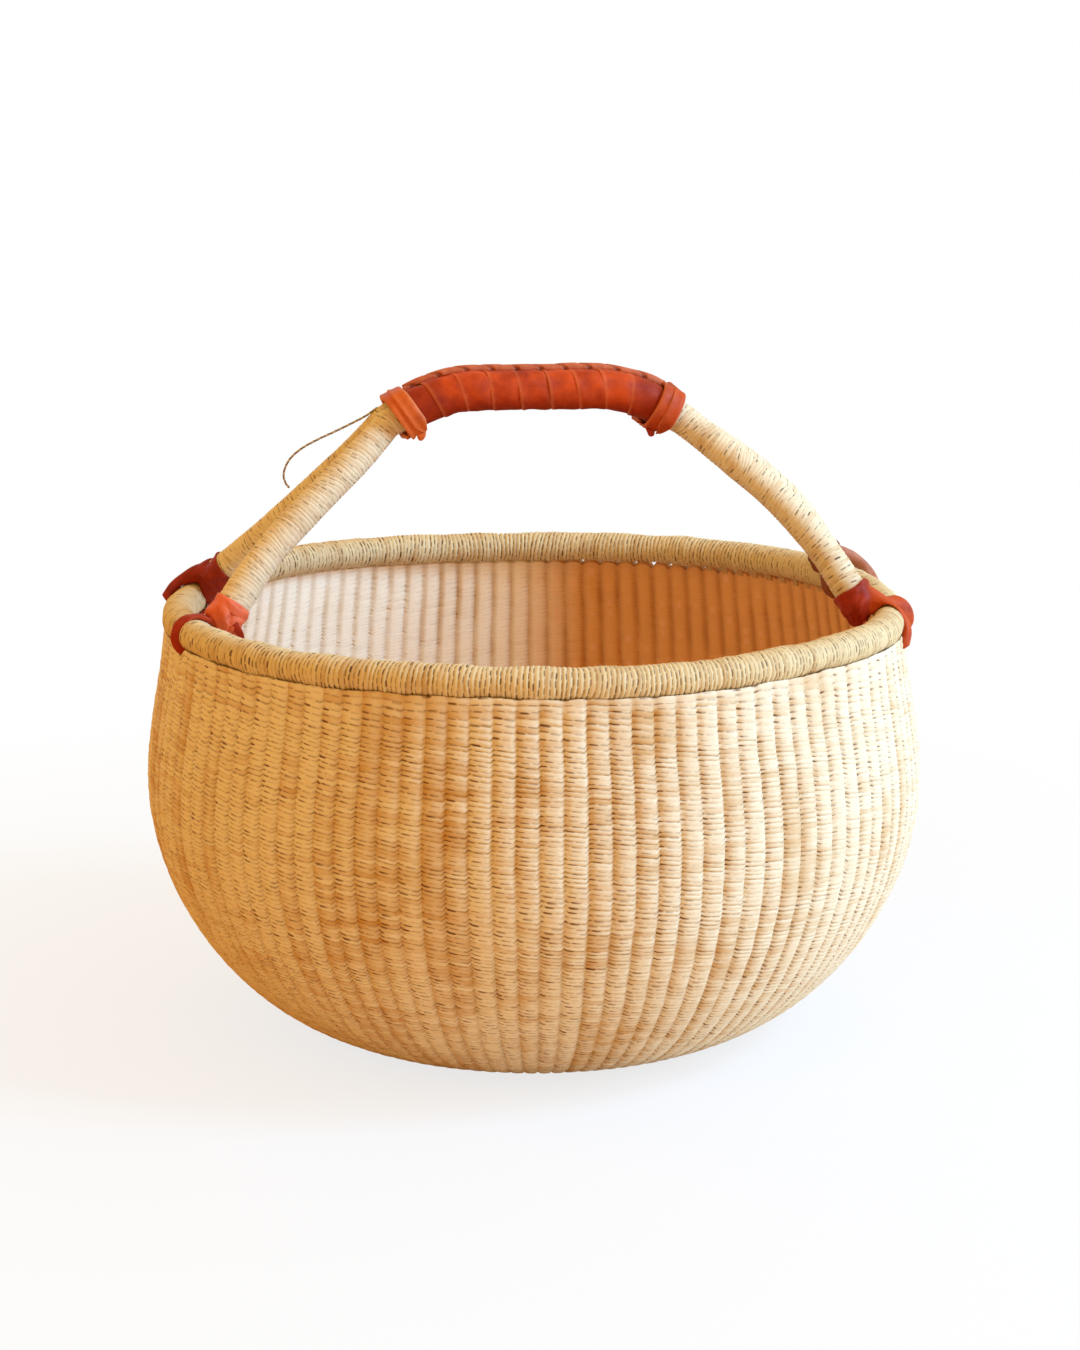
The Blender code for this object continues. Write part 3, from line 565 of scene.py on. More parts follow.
def leather_material(name, face, deep, edge, shaded_grip=False):
    """Thin goatskin, vegetable tanned and dyed: soft sheen, fine grain, pale raw edges.

    The UV map runs across a strip and along it, so its cut edges show paler. Painted shade
    darkens the ends of the grip and its underside.
    """
    material, add = new_material(name)
    uv = add("UVMap", uv_map="UVMap")[0]
    on_strip = add("SeparateXYZ", [uv])
    place = add("TexCoord")["Object"]
    mottle = add("TexNoise", {"Vector": place, "Scale": 1 / MOTTLE_SIZE, "Detail": 4.0,
                              "Roughness": 0.6})[0]
    broad = add("TexNoise", {"Vector": place, "Scale": 1 / BROAD_MOTTLE_SIZE, "Detail": 2.0})[0]
    mottle_tone = add("Math", [mottle, 1.6, -0.62], operation="MULTIPLY_ADD")[0]
    broad_tone = add("Math", [broad, 1.6, -0.8], operation="MULTIPLY_ADD")[0]
    tone = add("Math", [mottle_tone, broad_tone], operation="ADD", use_clamp=True)[0]
    colour = add("Mix", {0: tone, 6: linear(face), 7: linear(deep)}, data_type="RGBA")[2]
    if shaded_grip:
        # Painted shade on the grip's ends and on its underside
        x = add("SeparateXYZ", [place])[0]
        from_centre = add("Math", [x], operation="ABSOLUTE")[0]
        end = add("MapRange", [from_centre, 0.046, 0.056], **SMOOTH)[0]
        end = add("Math", [end, 0.6], operation="MULTIPLY")[0]
        # Painted shade: the middle of the grip's underside lies about half way round a turn
        on_turn = add("Math", [on_strip[1]], operation="FRACT")[0]
        off_underside = add("Math", [on_turn, 0.48], operation="SUBTRACT")[0]
        off_underside = add("Math", [off_underside], operation="ABSOLUTE")[0]
        underside_shade = add("MapRange", [off_underside, 0.24, 0.09], **SMOOTH)[0]
        underside_shade = add("Math", [underside_shade, 0.9], operation="MULTIPLY")[0]
        dark = add("Math", [end, underside_shade], operation="MAXIMUM")[0]
        colour = add("Mix", {0: dark, 6: colour, 7: linear(deep)}, data_type="RGBA")[2]
    centred = add("Math", [on_strip[0], 2.0, -1.0], operation="MULTIPLY_ADD")[0]
    to_edge = add("Math", [centred], operation="ABSOLUTE")[0]
    worn = add("MapRange", [to_edge, 0.70, 0.98], **SMOOTH)[0]
    worn = add("Math", [worn, 0.42], operation="MULTIPLY")[0]
    colour = add("Mix", {0: worn, 6: colour, 7: linear(edge)}, data_type="RGBA")[2]
    grain = add("TexVoronoi", {"Vector": place, "Scale": 1 / GRAIN_SIZE})[0]
    wrinkle = add("TexNoise", {"Vector": place, "Scale": 1 / WRINKLE_SIZE, "Detail": 4.0})[0]
    relief = add("Math", [grain, 0.35, wrinkle], operation="MULTIPLY_ADD")[0]
    bump = add("Bump", {"Height": relief, "Strength": 0.45, "Distance": 0.4 * MM})[0]
    dull = add("MapRange", {"Value": mottle, "To Min": 0.46, "To Max": 0.66})[0]
    set_shader(material, Base_Color=colour, Normal=bump, Roughness=dull, Specular_IOR_Level=0.2)
    return material


def lace_material(name, face, brown, gap):
    """The same goatskin cut into a lace, with painted shade where it dips between its turns."""
    material, add = new_material(name)
    uv = add("UVMap", uv_map="UVMap")[0]
    phase = add("SeparateXYZ", [uv])[0]
    place = add("TexCoord")["Object"]
    mottle = add("TexNoise", {"Vector": place, "Scale": 1 / LACE_MOTTLE_SIZE, "Detail": 3.0})[0]
    rise = add("MapRange", [phase, 0.0, 0.09], **SMOOTH)[0]
    fall = add("MapRange", [phase, 0.97, 0.80], **SMOOTH)[0]
    on_turn = add("Math", [rise, fall], operation="MULTIPLY")[0]
    band = add("Mix", {0: mottle, 6: linear(face), 7: linear(brown)}, data_type="RGBA")[2]
    # Painted shade where the lace dips between its turns
    colour = add("Mix", {0: on_turn, 6: linear(gap), 7: band}, data_type="RGBA")[2]
    bump = add("Bump", {"Height": mottle, "Strength": 0.4, "Distance": 0.3 * MM})[0]
    set_shader(material, Base_Color=colour, Normal=bump, Roughness=0.6, Specular_IOR_Level=0.2)
    return material


def twine_material(name):
    """Two-ply undyed cotton twine, twisted: one pale ply and one grey-brown, without sheen."""
    material, add = new_material(name)
    uv = add("UVMap", uv_map="UVMap")[0]
    plies = add("SeparateXYZ", [uv])[0]
    ply = add("Math", [plies, 1.0], operation="PINGPONG")[0]
    share = add("MapRange", [ply, 0.35, 0.65], **SMOOTH)[0]
    colour = add("Mix", {0: share, 6: linear("#BFB29D"), 7: linear("#857868")}, data_type="RGBA")[2]
    set_shader(material, Base_Color=colour, Roughness=0.85)
    return material


def core_material(name):
    """A tight bundle of dry grass stems: brown straw, streaked."""
    material, add = new_material(name)
    place = add("TexCoord")["Object"]
    streaks = add("TexNoise", {"Vector": place, "Scale": 1 / STEM_SIZE, "Detail": 2.0})[0]
    colour = add("Mix", {0: streaks, 6: linear("#D8B273"), 7: linear("#9C6A34")}, data_type="RGBA")[2]
    set_shader(material, Base_Color=colour, Roughness=0.7)
    return material


# The bowl

def bezier(start, first, second, end, t):
    """Points on a cubic curve, for an array of shares along it."""
    t = np.asarray(t)[..., None]
    u = 1 - t
    return (u ** 3 * np.array(start) + 3 * u * u * t * np.array(first)
            + 3 * u * t * t * np.array(second) + t ** 3 * np.array(end))


class Outline:
    """The wall's outer outline, measured along its length from the foot to the neck."""

    def __init__(self):
        steps = np.linspace(0, 1, 400)
        rise = WALL_TOP - BELLY_HEIGHT
        draw = BELLY_RADIUS - NECK_RADIUS
        lower = bezier((FOOT_RADIUS, 0),
                       (FOOT_RADIUS + LOWER_OUT_SHARE * (BELLY_RADIUS - FOOT_RADIUS), 0),
                       (BELLY_RADIUS, BELLY_HEIGHT * LOWER_UP_SHARE), (BELLY_RADIUS, BELLY_HEIGHT), steps)
        upper = bezier((BELLY_RADIUS, BELLY_HEIGHT), (BELLY_RADIUS, BELLY_HEIGHT + UPPER_UP_SHARE * rise),
                       (NECK_RADIUS + UPPER_IN_SHARE * draw, WALL_TOP - UPPER_DOWN_SHARE * rise),
                       (NECK_RADIUS, WALL_TOP), steps)
        self.points = np.vstack([lower, upper[1:]])
        self.runs = runs_along(self.points)
        self.length = self.runs[-1]
        self.ways = unit(np.gradient(self.points, axis=0))

    def at(self, run, depth):
        """Radius and height at a run along the outline and a depth square to it."""
        radius, height = (np.interp(run, self.runs, self.points[:, i]) for i in (0, 1))
        out, up = (np.interp(run, self.runs, self.ways[:, i]) for i in (0, 1))
        return radius - depth * up, height + depth * out


OUTLINE = Outline()
WEFT_HEIGHT = OUTLINE.length / WEFT_COUNT
rng = np.random.default_rng(11)
STITCH_TONES = rng.uniform(0, 1, (STAKE_COUNT + 1, WEFT_COUNT + 2))
RIB_PHASES = rng.uniform(-0.3, 0.3, STAKE_COUNT)
HOLE_DEPTHS = rng.uniform(0, 1, STAKE_COUNT + 1) ** 2


def handmade(points, turn, height):
    """The small unevenness of hand weaving, which fades out towards the floor."""
    share = np.clip(height / WALL_TOP, 0, 1) ** 1.5
    out = SWAY_OUT * round_drift(3, 2, 7, turn) * share
    up = SWAY_UP * round_drift(4, 2, 6, turn) * share
    return points + stack(np.cos(turn) * out, np.sin(turn) * out, up)


def top_rise(across, weft):
    """How far the last wefts climb against the rim, less where a hole or a thong passes."""
    turn = 2 * pi * across / STAKE_COUNT
    gap = np.rint(across).astype(int) % STAKE_COUNT
    near_gap = np.clip(1 - np.abs(across - np.rint(across)) / HOLE_HALF_WIDTH, 0, 1)
    open_side = np.clip(np.cos(turn - OPEN_HOLES_TURN), 0, 1) ** 6
    hole = near_gap * np.clip(HOLE_DEPTHS[gap] * 0.1 + open_side, 0, 1)
    ragged = np.clip(0.94 + 0.05 * round_drift(9, 20, 60, turn), 0.82, 1.05)
    from_foot = np.abs(np.abs(np.mod(turn + pi / 2, pi) - pi / 2) - FOOT_ANGLE)
    at_thong = np.clip(1.3 - from_foot / THONG_HALF_TURN, 0, 1)
    rise = TOP_RISE * np.clip(ragged - 0.8 * hole, 0, 1.05) * (1 - 0.8 * at_thong)
    climb = np.clip((weft - WEFT_COUNT + TOP_WEFTS) / TOP_WEFTS, 0, 1)
    return rise * climb


def wall_band(name, first, last):
    """A closed band of the woven wall, from one weft to another.

    Each rib is round, each weft passes over it as a stitch that slants a little, and its
    ends tuck into the grooves beside the rib.
    """
    side = len(RIB_SAMPLE_SHARES)
    outer = [weft + b for weft in range(first, last) for b in WEFT_SAMPLE_SHARES] + [last]
    inner = [weft + b for weft in range(first, last) for b in INNER_WEFT_SAMPLE_SHARES] + [last]
    levels = np.array(outer + inner[::-1] + outer[:1])
    insides = np.array([False] * len(outer) + [True] * len(inner) + [False])
    rib_shares = np.array(RIB_SAMPLE_SHARES)

    def form(column, row):
        level = levels[row]
        inside = insides[row]
        weft = np.floor(level).astype(int)
        sample = level - weft
        rib = (column // side) % STAKE_COUNT
        share = rib_shares[column % side]
        across = column // side + share
        from_crest = 2 * share - 1
        in_groove = share == 0
        phase = np.where(in_groove, (RIB_PHASES[rib] + RIB_PHASES[rib - 1]) / 2, RIB_PHASES[rib])
        slant = np.where(in_groove, GROOVE_SLANT, -STITCH_SLANT * from_crest)
        turn = 2 * pi * across / STAKE_COUNT
        edge = np.clip(np.minimum(weft, WEFT_COUNT - weft) / 3, 0, 1)
        wander = WEFT_WANDER * drift(5, 9, 1.0, 2 * np.cos(turn), 2 * np.sin(turn), weft / 14)
        run = (level + (phase + slant + wander) * edge) * WEFT_HEIGHT
        tone = STITCH_TONES[rib, weft]
        crown = np.sqrt(np.clip(1 - np.abs(from_crest) ** 2.5, 0, 1))
        narrow = OUTLINE.at(run, 0)[0] / BELLY_RADIUS
        uneven = RIB_UNEVENNESS * drift(6, 8, 1.5, 3 * np.cos(turn), 3 * np.sin(turn), weft / 9)
        rib_depth = RIB_DEPTH * narrow * (1 + uneven)
        gap = WEFT_GROOVE + (DEEP_WEFT_GROOVE - WEFT_GROOVE) * tone ** 2
        proud = (tone - 0.5) * STITCH_UNEVENNESS
        groove = np.where(sample == 0, gap * (0.55 + 0.45 * from_crest ** 2), -proud)
        groove = np.where(inside & ((level == first) | (level == last)), BAND_END_GROOVE, groove)
        depth = rib_depth * (1 - crown) * np.maximum(edge, 0.4) + groove
        depth = np.where(inside, WALL_THICKNESS - depth * INNER_RELIEF_SHARE, depth)
        radius, height = OUTLINE.at(np.clip(run, 0, OUTLINE.length), depth)
        height = height + top_rise(across, level) * np.where(inside, INNER_RISE_SHARE, 1)
        turn = turn + RIB_SWAY_TURN * drift(7, 8, 1.3, 2 * np.cos(turn), 2 * np.sin(turn), weft / 17)
        points = about_axis(radius, turn, height)
        return handmade(points, turn, height), stack(across, np.where(inside, -1 - level, level))

    band = formed_grid(name, STAKE_COUNT * side, len(levels) - 1, form)
    band.data.set_sharp_from_angle(angle=radians(65))
    return band


def base_disc(name):
    """The woven base: wefts in rings, and ribs that divide as they spread from the middle."""
    ring_count = round(FOOT_RADIUS / WEFT_HEIGHT)
    side = 4
    clearance = 0.0002
    # Within these radii the ribs are four and two times as wide
    inner_divide = 0.03
    outer_divide = 0.06

    def form(column, row):
        upper = row > 2 * ring_count
        ring = np.where(upper, 4 * ring_count + 1 - row, row)
        radius = (FOOT_RADIUS - clearance) * ring / (2 * ring_count)
        per_rib = np.where(radius < outer_divide, 2 * side, side)
        per_rib = np.where(radius < inner_divide, 4 * side, per_rib)
        share = (column % per_rib) / per_rib
        turn = 2 * pi * column / (STAKE_COUNT * side)
        crown = np.sqrt(np.clip(1 - (2 * share - 1) ** 2, 0, 1))
        wide = 2 * pi * radius * per_rib / (STAKE_COUNT * side)
        depth = np.minimum(RIB_DEPTH, wide * 0.22) * (1 - crown) + np.where(ring % 2 == 0, WEFT_GROOVE, 0)
        depth = np.where(ring == 0, WEFT_GROOVE, depth)
        z = np.where(upper, BASE_THICKNESS - depth, depth)
        pattern = stack(column / per_rib, np.where(upper, -1 - ring / 2, ring / 2))
        return about_axis(radius, turn, z), pattern

    return formed_grid(name, STAKE_COUNT * side, 4 * ring_count + 1, form)


# The rim

def strand_place(strand, share, around, offsets, period=None):
    """Place along a bundle of a wound strand, whose edges sit a little unevenly."""
    numbers = np.arange(len(offsets))
    left = strand + around
    return ((left + np.interp(left, numbers, offsets, period=period)) * (1 - share)
            + (left + 1 + np.interp(left + 1, numbers, offsets, period=period)) * share)


def rim_skin(name):
    """The rim's binding: one strand after another wound over the bundle, uneven and close."""
    samples = np.array(STRAND_SAMPLE_SHARES)
    side = len(samples)
    own_rng = np.random.default_rng(17)
    numbers = np.arange(RIM_STRANDS)
    heights = own_rng.uniform(-1, 1, RIM_STRANDS)
    offsets = own_rng.uniform(-0.22, 0.22, RIM_STRANDS)
    gaps = own_rng.uniform(0.4, 1.6, RIM_STRANDS)

    def form(column, row):
        strand = (column // side) % RIM_STRANDS
        share = samples[column % side]
        around = row / RIM_STEPS_ROUND
        angle = 2 * pi * around - pi / 2
        place = strand_place(column // side, share, around, offsets, RIM_STRANDS)
        rough_turn = 2 * pi * place / RIM_STRANDS
        lean = (0.35 * round_drift(21, 4, 20, rough_turn) * np.sin(angle + 0.8)
                + 0.09 * round_drift(22, 30, 90, rough_turn) * np.sin(2 * angle + 1)
                + 0.07 * round_drift(24, 60, 150, rough_turn) * np.sin(5 * angle))
        turn = 2 * pi * (place + lean) / RIM_STRANDS
        number = strand + around
        own = np.interp(number, numbers, heights, period=RIM_STRANDS)
        gap = np.interp(number, numbers, gaps, period=RIM_STRANDS)
        shoulder = np.where(share == 0.5, 0, RIM_STRAND_SHOULDER)
        groove = np.where(share == 0, RIM_STRAND_GROOVE * gap, shoulder)
        tube = RIM_TUBE_RADIUS + RIM_PROUD - groove + RIM_STRAND_UNEVENNESS * own
        tube = tube + RIM_SWELL * round_drift(23, 9, 40, turn)
        out = RIM_RADIUS + tube * np.cos(angle)
        height = RIM_HEIGHT + tube * np.sin(angle)
        points = about_axis(out, turn, height)
        return handmade(points, turn, height), stack(around * PATTERN_RIBS_ROUND, column // side + share)

    return formed_grid(name, RIM_STRANDS * side, RIM_STEPS_ROUND, form)


# The handle's centre lines

def rim_frame(side_x, side_y):
    """The middle of the rim beside a foot, the way outwards there and the way up."""
    out = np.array((side_x * cos(FOOT_ANGLE), side_y * sin(FOOT_ANGLE), 0))
    up = np.array((0, 0, 1))
    return out * RIM_RADIUS + up * RIM_HEIGHT, out, up


def foot_point(side_x, side_y):
    """Outer end of a leg's cuff, beside the rim and a little above it."""
    inset, lift = FOOT_PLACES[side_x, side_y]
    centre, out, up = rim_frame(side_x, side_y)
    return centre - inset * out + lift * up


def leg_direction(side_x, side_y, slope, yaw):
    """Unit vector down along a leg, from its slope and its turn away from the handle's plane."""
    return np.array((side_x * cos(slope) * cos(yaw), side_y * cos(slope) * sin(yaw), -sin(slope)))


def grip_line(distance):
    """Points of the grip's centre line at distances from its middle, and their normals."""
    side = np.where(distance >= 0, 1, -1)
    run = np.abs(distance)
    half = GRIP_STRAIGHT_LENGTH / 2
    bend = np.clip((run - half) / GRIP_BEND_RADIUS, 0, GRIP_BEND_ANGLE)
    past = np.maximum(run - half - GRIP_BEND_RADIUS * GRIP_BEND_ANGLE, 0)
    x = np.minimum(run, half) + GRIP_BEND_RADIUS * np.sin(bend) + past * np.cos(bend)
    z = GRIP_HEIGHT - GRIP_BEND_RADIUS * (1 - np.cos(bend)) - past * np.sin(bend)
    return stack(side * x, 0, z), stack(side * np.sin(bend), 0, np.cos(bend))


class Bundle:
    """The centre line of one grass bundle, from its left foot to its right, and its section."""

    def __init__(self, side_y):
        halves = [self.half(side_x, side_y) for side_x in (-1, 1)]
        (left, left_spreads), (right, right_spreads) = halves
        self.points = np.vstack([left[:0:-1], right])
        self.spreads = np.concatenate([left_spreads[:0:-1], right_spreads])
        self.runs = runs_along(self.points)
        self.length = self.runs[-1]

    def half(self, side_x, side_y):
        """Points from the middle of the grip to a foot, and how round the section is at each."""
        beside = np.array((0, side_y * (GRIP_BUNDLE_HALF_WIDTH + BUNDLE_GAP / 2), 0))
        leg_start = WINDING_LENGTH / 2 + COLLAR_LENGTH + LEG_START_GAP
        on_grip = grip_line(side_x * leg_start * np.linspace(0, 1, 41))[0] + beside
        start = on_grip[-1]
        down = leg_direction(side_x, side_y, LEG_FOOT_SLOPES[side_x, side_y], LEG_FOOT_YAW)
        end = foot_point(side_x, side_y) - down * CUFF_FLOOR
        straight = end - down * FOOT_STRAIGHT_LENGTH
        pull = np.linalg.norm(straight - start) / 3
        off = leg_direction(side_x, side_y, LEG_TOP_SLOPES[side_x], LEG_TOP_YAW)
        leg = bezier(start, start + off * pull, straight - down * pull, straight,
                     np.linspace(0, 1, 61)[1:])
        spread = smooth_step(np.linalg.norm(leg - start, axis=1) / SPREAD_LENGTH)
        return np.vstack([on_grip, leg, end]), np.concatenate([np.zeros(len(on_grip)), spread, [1]])

    def point(self, run):
        """Points at an array of runs along the bundle."""
        return np.stack([np.interp(run, self.runs, self.points[:, i]) for i in range(3)], axis=-1)

    def at(self, run):
        """Centre, across, up and spread at an array of runs along the bundle."""
        near = 0.0015
        way = unit(self.point(run + near) - self.point(run - near))
        across = unit(np.array((0.0, 1.0, 0.0)) - way * way[..., 1:2])
        return self.point(run), across, np.cross(way, across), np.interp(run, self.runs, self.spreads)

    def skin(self, run, angle, proud, keep):
        """Points round the bundle's oval section, proud of it, drawn in to its centre where keep is 0."""
        centre, across, up, spread = self.at(run)
        half_width = GRIP_BUNDLE_HALF_WIDTH + spread * (LEG_RADIUS - GRIP_BUNDLE_HALF_WIDTH) + proud
        half_height = GRIP_BUNDLE_HALF_HEIGHT + spread * (LEG_RADIUS - GRIP_BUNDLE_HALF_HEIGHT) + proud
        return (centre + across * (half_width * np.cos(angle) * keep)[:, None]
                + up * (half_height * np.sin(angle) * keep)[:, None])


BUNDLES = {"front": Bundle(-1), "rear": Bundle(1)}


def bundle_skin(name, bundle, seed):
    """The binding of one bundle: a strand wound close and unevenly from foot to foot."""
    samples = np.array(STRAND_SAMPLE_SHARES)
    side = len(samples)
    strands = round(bundle.length / LEG_STRAND_PITCH)
    columns = strands * side + 2
    own_rng = np.random.default_rng(seed)
    numbers = np.arange(strands + 2)
    heights = own_rng.uniform(-1, 1, strands + 2)
    offsets = own_rng.uniform(-0.3, 0.3, strands + 2)
    offsets[[0, 1, -3, -2, -1]] = 0
    gaps = own_rng.uniform(0.3, 1.7, strands + 2)

    def form(column, row):
        column = column - 1
        ends = (column < 0) | (column > strands * side)
        column = np.clip(column, 0, strands * side)
        strand = column // side
        share = samples[column % side]
        around = row / LEG_STEPS_ROUND
        angle = 2 * pi * around + pi / 2
        place = strand_place(strand, share, around, offsets)
        lean = (0.6 * drift(seed + 1, 8, 0.05, place) * np.sin(angle)
                + 0.4 * drift(seed + 2, 8, 0.16, place) * np.sin(2 * angle + 1))
        even = strand + share + around - 0.5
        uneven = place - 0.5 + lean * np.clip(np.minimum(even, strands - even) / 4, 0, 1)
        # The first and last half turns draw in, so that the ends are flat
        uneven = np.where(even < 1, (uneven + 0.5) / 1.5, uneven)
        uneven = np.where(even > strands - 1, strands - (strands + 0.5 - uneven) / 1.5, uneven)
        run = np.clip(uneven / strands, 0, 1) * bundle.length
        own = np.interp(strand + around, numbers, heights)
        gap = np.interp(strand + around, numbers, gaps)
        shoulder = np.where(share == 0.5, 0, LEG_STRAND_SHOULDER)
        groove = np.where(share == 0, LEG_STRAND_GROOVE * gap, shoulder)
        swell = LEG_SWELL * drift(seed + 3, 8, 0.05, place)
        points = bundle.skin(run, angle, LEG_STRAND_UNEVENNESS * own + swell - groove, 1)
        points = np.where(ends[:, None], bundle.point(np.where(column == 0, 0, bundle.length)), points)
        return points, stack(around * PATTERN_RIBS_ROUND, strand + share)

    return formed_grid(name, columns, LEG_STEPS_ROUND, form, flip=True)


def bundle_core(name, bundle):
    """The stems inside a bundle's binding, as a plain closed rod."""
    steps = 160
    around = 16
    inset = 0.001

    def form(column, row):
        angle = 2 * pi * row / around
        run = inset + np.clip((column - 1) / (steps - 2), 0, 1) * (bundle.length - 2 * inset)
        keep = np.where((column == 0) | (column == steps), 0, 1)
        return bundle.skin(run, angle, -LEG_BINDING_THICKNESS, keep), stack(angle, run)

    return formed_grid(name, steps, around, form, flip=True)


# Leather

# The outline of a strip's section, from its left edge over its face to its right edge and back
# under it: places across as shares of the width, and heights as shares of the thickness
STRIP_SECTION_SHARES = (
    (-0.5, 0.25), (-0.49, 0.55), (-0.46, 0.8), (-0.40, 0.95), (-0.30, 1), (-0.15, 1), (0.03, 1),
    (0.2, 1), (0.32, 0.97), (0.41, 0.82), (0.47, 0.5), (0.5, 0.2), (0.47, 0), (0.2, 0), (-0.1, 0),
    (-0.3, 0), (-0.47, 0),
)


def grip_surface(distance, share, proud):
    """Points of the grip's skin, as grip distances, shares of the way round and heights."""
    flat = GRIP_BUNDLE_HALF_WIDTH + BUNDLE_GAP / 2
    end_width = GRIP_BUNDLE_HALF_WIDTH + GRIP_CLEARANCE + proud
    end_height = GRIP_BUNDLE_HALF_HEIGHT + GRIP_CLEARANCE + proud
    end_length = pi * np.sqrt((end_width ** 2 + end_height ** 2) / 2)
    total = 4 * flat + 2 * end_length
    along = np.mod(share + 0.5, 1) * total - total / 2
    past_flat = np.clip(np.abs(along) - flat, 0, end_length)
    beyond = np.maximum(np.abs(along) - flat - end_length, 0)
    turn = past_flat / end_length * pi
    across = np.minimum(np.abs(along), flat) + end_width * np.sin(turn) - beyond
    across = across * np.where(along >= 0, 1, -1)
    centre, normal = grip_line(distance)
    return centre + normal * (end_height * np.cos(turn))[:, None] + stack(0, across, 0)


def wound_strip(name, start, pitch, turns, width, thickness, lap, crown, seed, seat,
                skew=0.0, first=0.0, rise=0.95):
    """A leather strip wound round the grip, each turn lapping over the edge of the last.

    Seat is its height over the bundles, crown how far its face bulges, skew how far it swings
    to and fro once a turn, first the share of the way round where it starts, and rise how far
    a turn climbs over the last, as a share of the thickness.
    """
    steps = round(turns * 60)
    sections = np.array(STRIP_SECTION_SHARES)
    sides = len(sections)

    def form(column, row):
        turn = column / steps * turns
        place, level = sections[row % sides].T
        ends = (column == 0) | (column == steps)
        share = first - turn
        sway = STRIP_SWAY * drift(seed, 7, 0.9, turn)
        narrow = np.clip(np.minimum(turn, turns - turn) / 0.12, 0.35, 1)
        middle = start + pitch * turn + skew * np.cos(2 * pi * share) + sway
        distance = middle + width * place * narrow * np.where(ends, 0, 1)
        lapped = smooth_step(1 - (place + 0.5) * width / lap)
        crease = drift(seed + 1, 12, 1.4, turn * 4, place * 1.2)
        arch = np.sqrt(np.clip(1 - (2 * place) ** 4, 0, 1))
        proud = (seat + thickness * level * np.where(ends, 0.5, 1)
                 + thickness * rise * lapped * smooth_step(turn)
                 + (crown * arch + STRIP_CREASE * crease) * np.where(level > 0.3, 1, 0))
        proud = np.where(ends, seat + thickness / 2, proud)
        return grip_surface(distance, share, proud), stack(place + 0.5, turn)

    return formed_grid(name, steps, sides, form)


def grip_lace(name):
    """The ridge along the top of the grip: a lace whipped over a cord, with a gap at each turn."""
    reach = WINDING_LENGTH / 2 + LACE_OVERHANG
    seat = WINDING_THICKNESS + LACE_SEAT
    turns = 2 * reach / LACE_PITCH
    steps = round(turns * 30)
    sides = 24

    def form(column, row):
        share = column / steps
        distance = reach * (2 * share - 1)
        angle = 2 * pi * row / sides
        phase = np.mod(share * turns + LACE_LEAN * np.cos(angle), 1)
        band = smooth_step(phase / 0.10) * smooth_step((0.96 - phase) / 0.14)
        ends = (column == 0) | (column == steps)
        swell = 1 + 0.10 * drift(71, 8, 0.7, share * turns, np.cos(angle))
        tall = LACE_HEIGHT * (0.6 + 0.4 * band) * swell
        half = LACE_HALF_WIDTH * (0.74 + 0.32 * band) * swell
        across = half * squared_off(np.cos(angle), 0.8)
        up = np.where(np.sin(angle) > 0, tall, LACE_SEAT) * np.sin(angle)
        across = across * np.where(ends, 0, 1)
        up = np.where(ends, LACE_HEIGHT * 0.25, up)
        points = grip_surface(distance, np.zeros(len(row)), seat + up)
        points[:, 1] = across
        return points, stack(phase, share * turns)

    return formed_grid(name, steps, sides, form, flip=True)


def thong(name, path, facing, widths, thicknesses, seed, closed=False):
    """A leather thong along a path, its face turned towards facing, with rounded edges."""
    path = np.array(path, float)
    steps = len(path) - (0 if closed else 1)
    around = 16
    roundness = 0.55
    if closed:
        tangent = unit(np.roll(path, -1, axis=0) - np.roll(path, 1, axis=0))
    else:
        tangent = unit(np.gradient(path, axis=0))
    across = unit(np.cross(tangent, facing))
    face = np.cross(across, tangent)
    widths = np.broadcast_to(widths, len(path))
    thicknesses = np.broadcast_to(thicknesses, len(path))

    def form(column, row):
        i = column % len(path)
        angle = 2 * pi * row / around
        loop = 2 * pi * i / len(path)
        spots = (4.5 * np.cos(loop), 4.5 * np.sin(loop)) if closed else (column / 5,)
        crease = drift(seed, 10, 0.45, *spots, np.cos(angle) * 1.5)
        c = squared_off(np.cos(angle), roundness)
        t = squared_off(np.sin(angle), roundness)
        ends = (not closed) & ((column == 0) | (column == steps))
        half = widths[i] / 2 * c * (1 + 0.05 * drift(seed + 1, 6, 0.4, *spots))
        tall = thicknesses[i] / 2 * t + THONG_CREASE * crease * np.abs(t)
        keep = np.where(ends, 0, 1)[:, None]
        points = path[i] + (across[i] * half[:, None] + face[i] * tall[:, None]) * keep
        return points, stack(c / 2 + 0.5, column / 40)

    return formed_grid(name, steps, around, form)


def tongue(name, root, tip, width, seed):
    """A short loose end of leather, from a root to its tip, facing forwards."""
    facing = np.array((0, -1, 0.2))
    thickness = 0.0016
    bulge = 0.0008
    shares = np.linspace(0, 1, 20)[:, None]
    path = root + (np.array(tip) - root) * shares + facing * bulge * np.sin(pi * shares)
    taper = np.sqrt(np.clip(1 - (shares[:, 0] ** 3), 0.02, 1))
    return thong(name, path, np.broadcast_to(facing, path.shape), width * taper, thickness * taper, seed)


def foot_frame(side_x, side_y):
    """A foot's end point, its axis up the leg, the way outwards and the way along the rim."""
    end = foot_point(side_x, side_y)
    up = -leg_direction(side_x, side_y, LEG_FOOT_SLOPES[side_x, side_y], LEG_FOOT_YAW)
    out = rim_frame(side_x, side_y)[1]
    out = unit(out - up * out.dot(up))
    return end, up, out, np.cross(up, out)


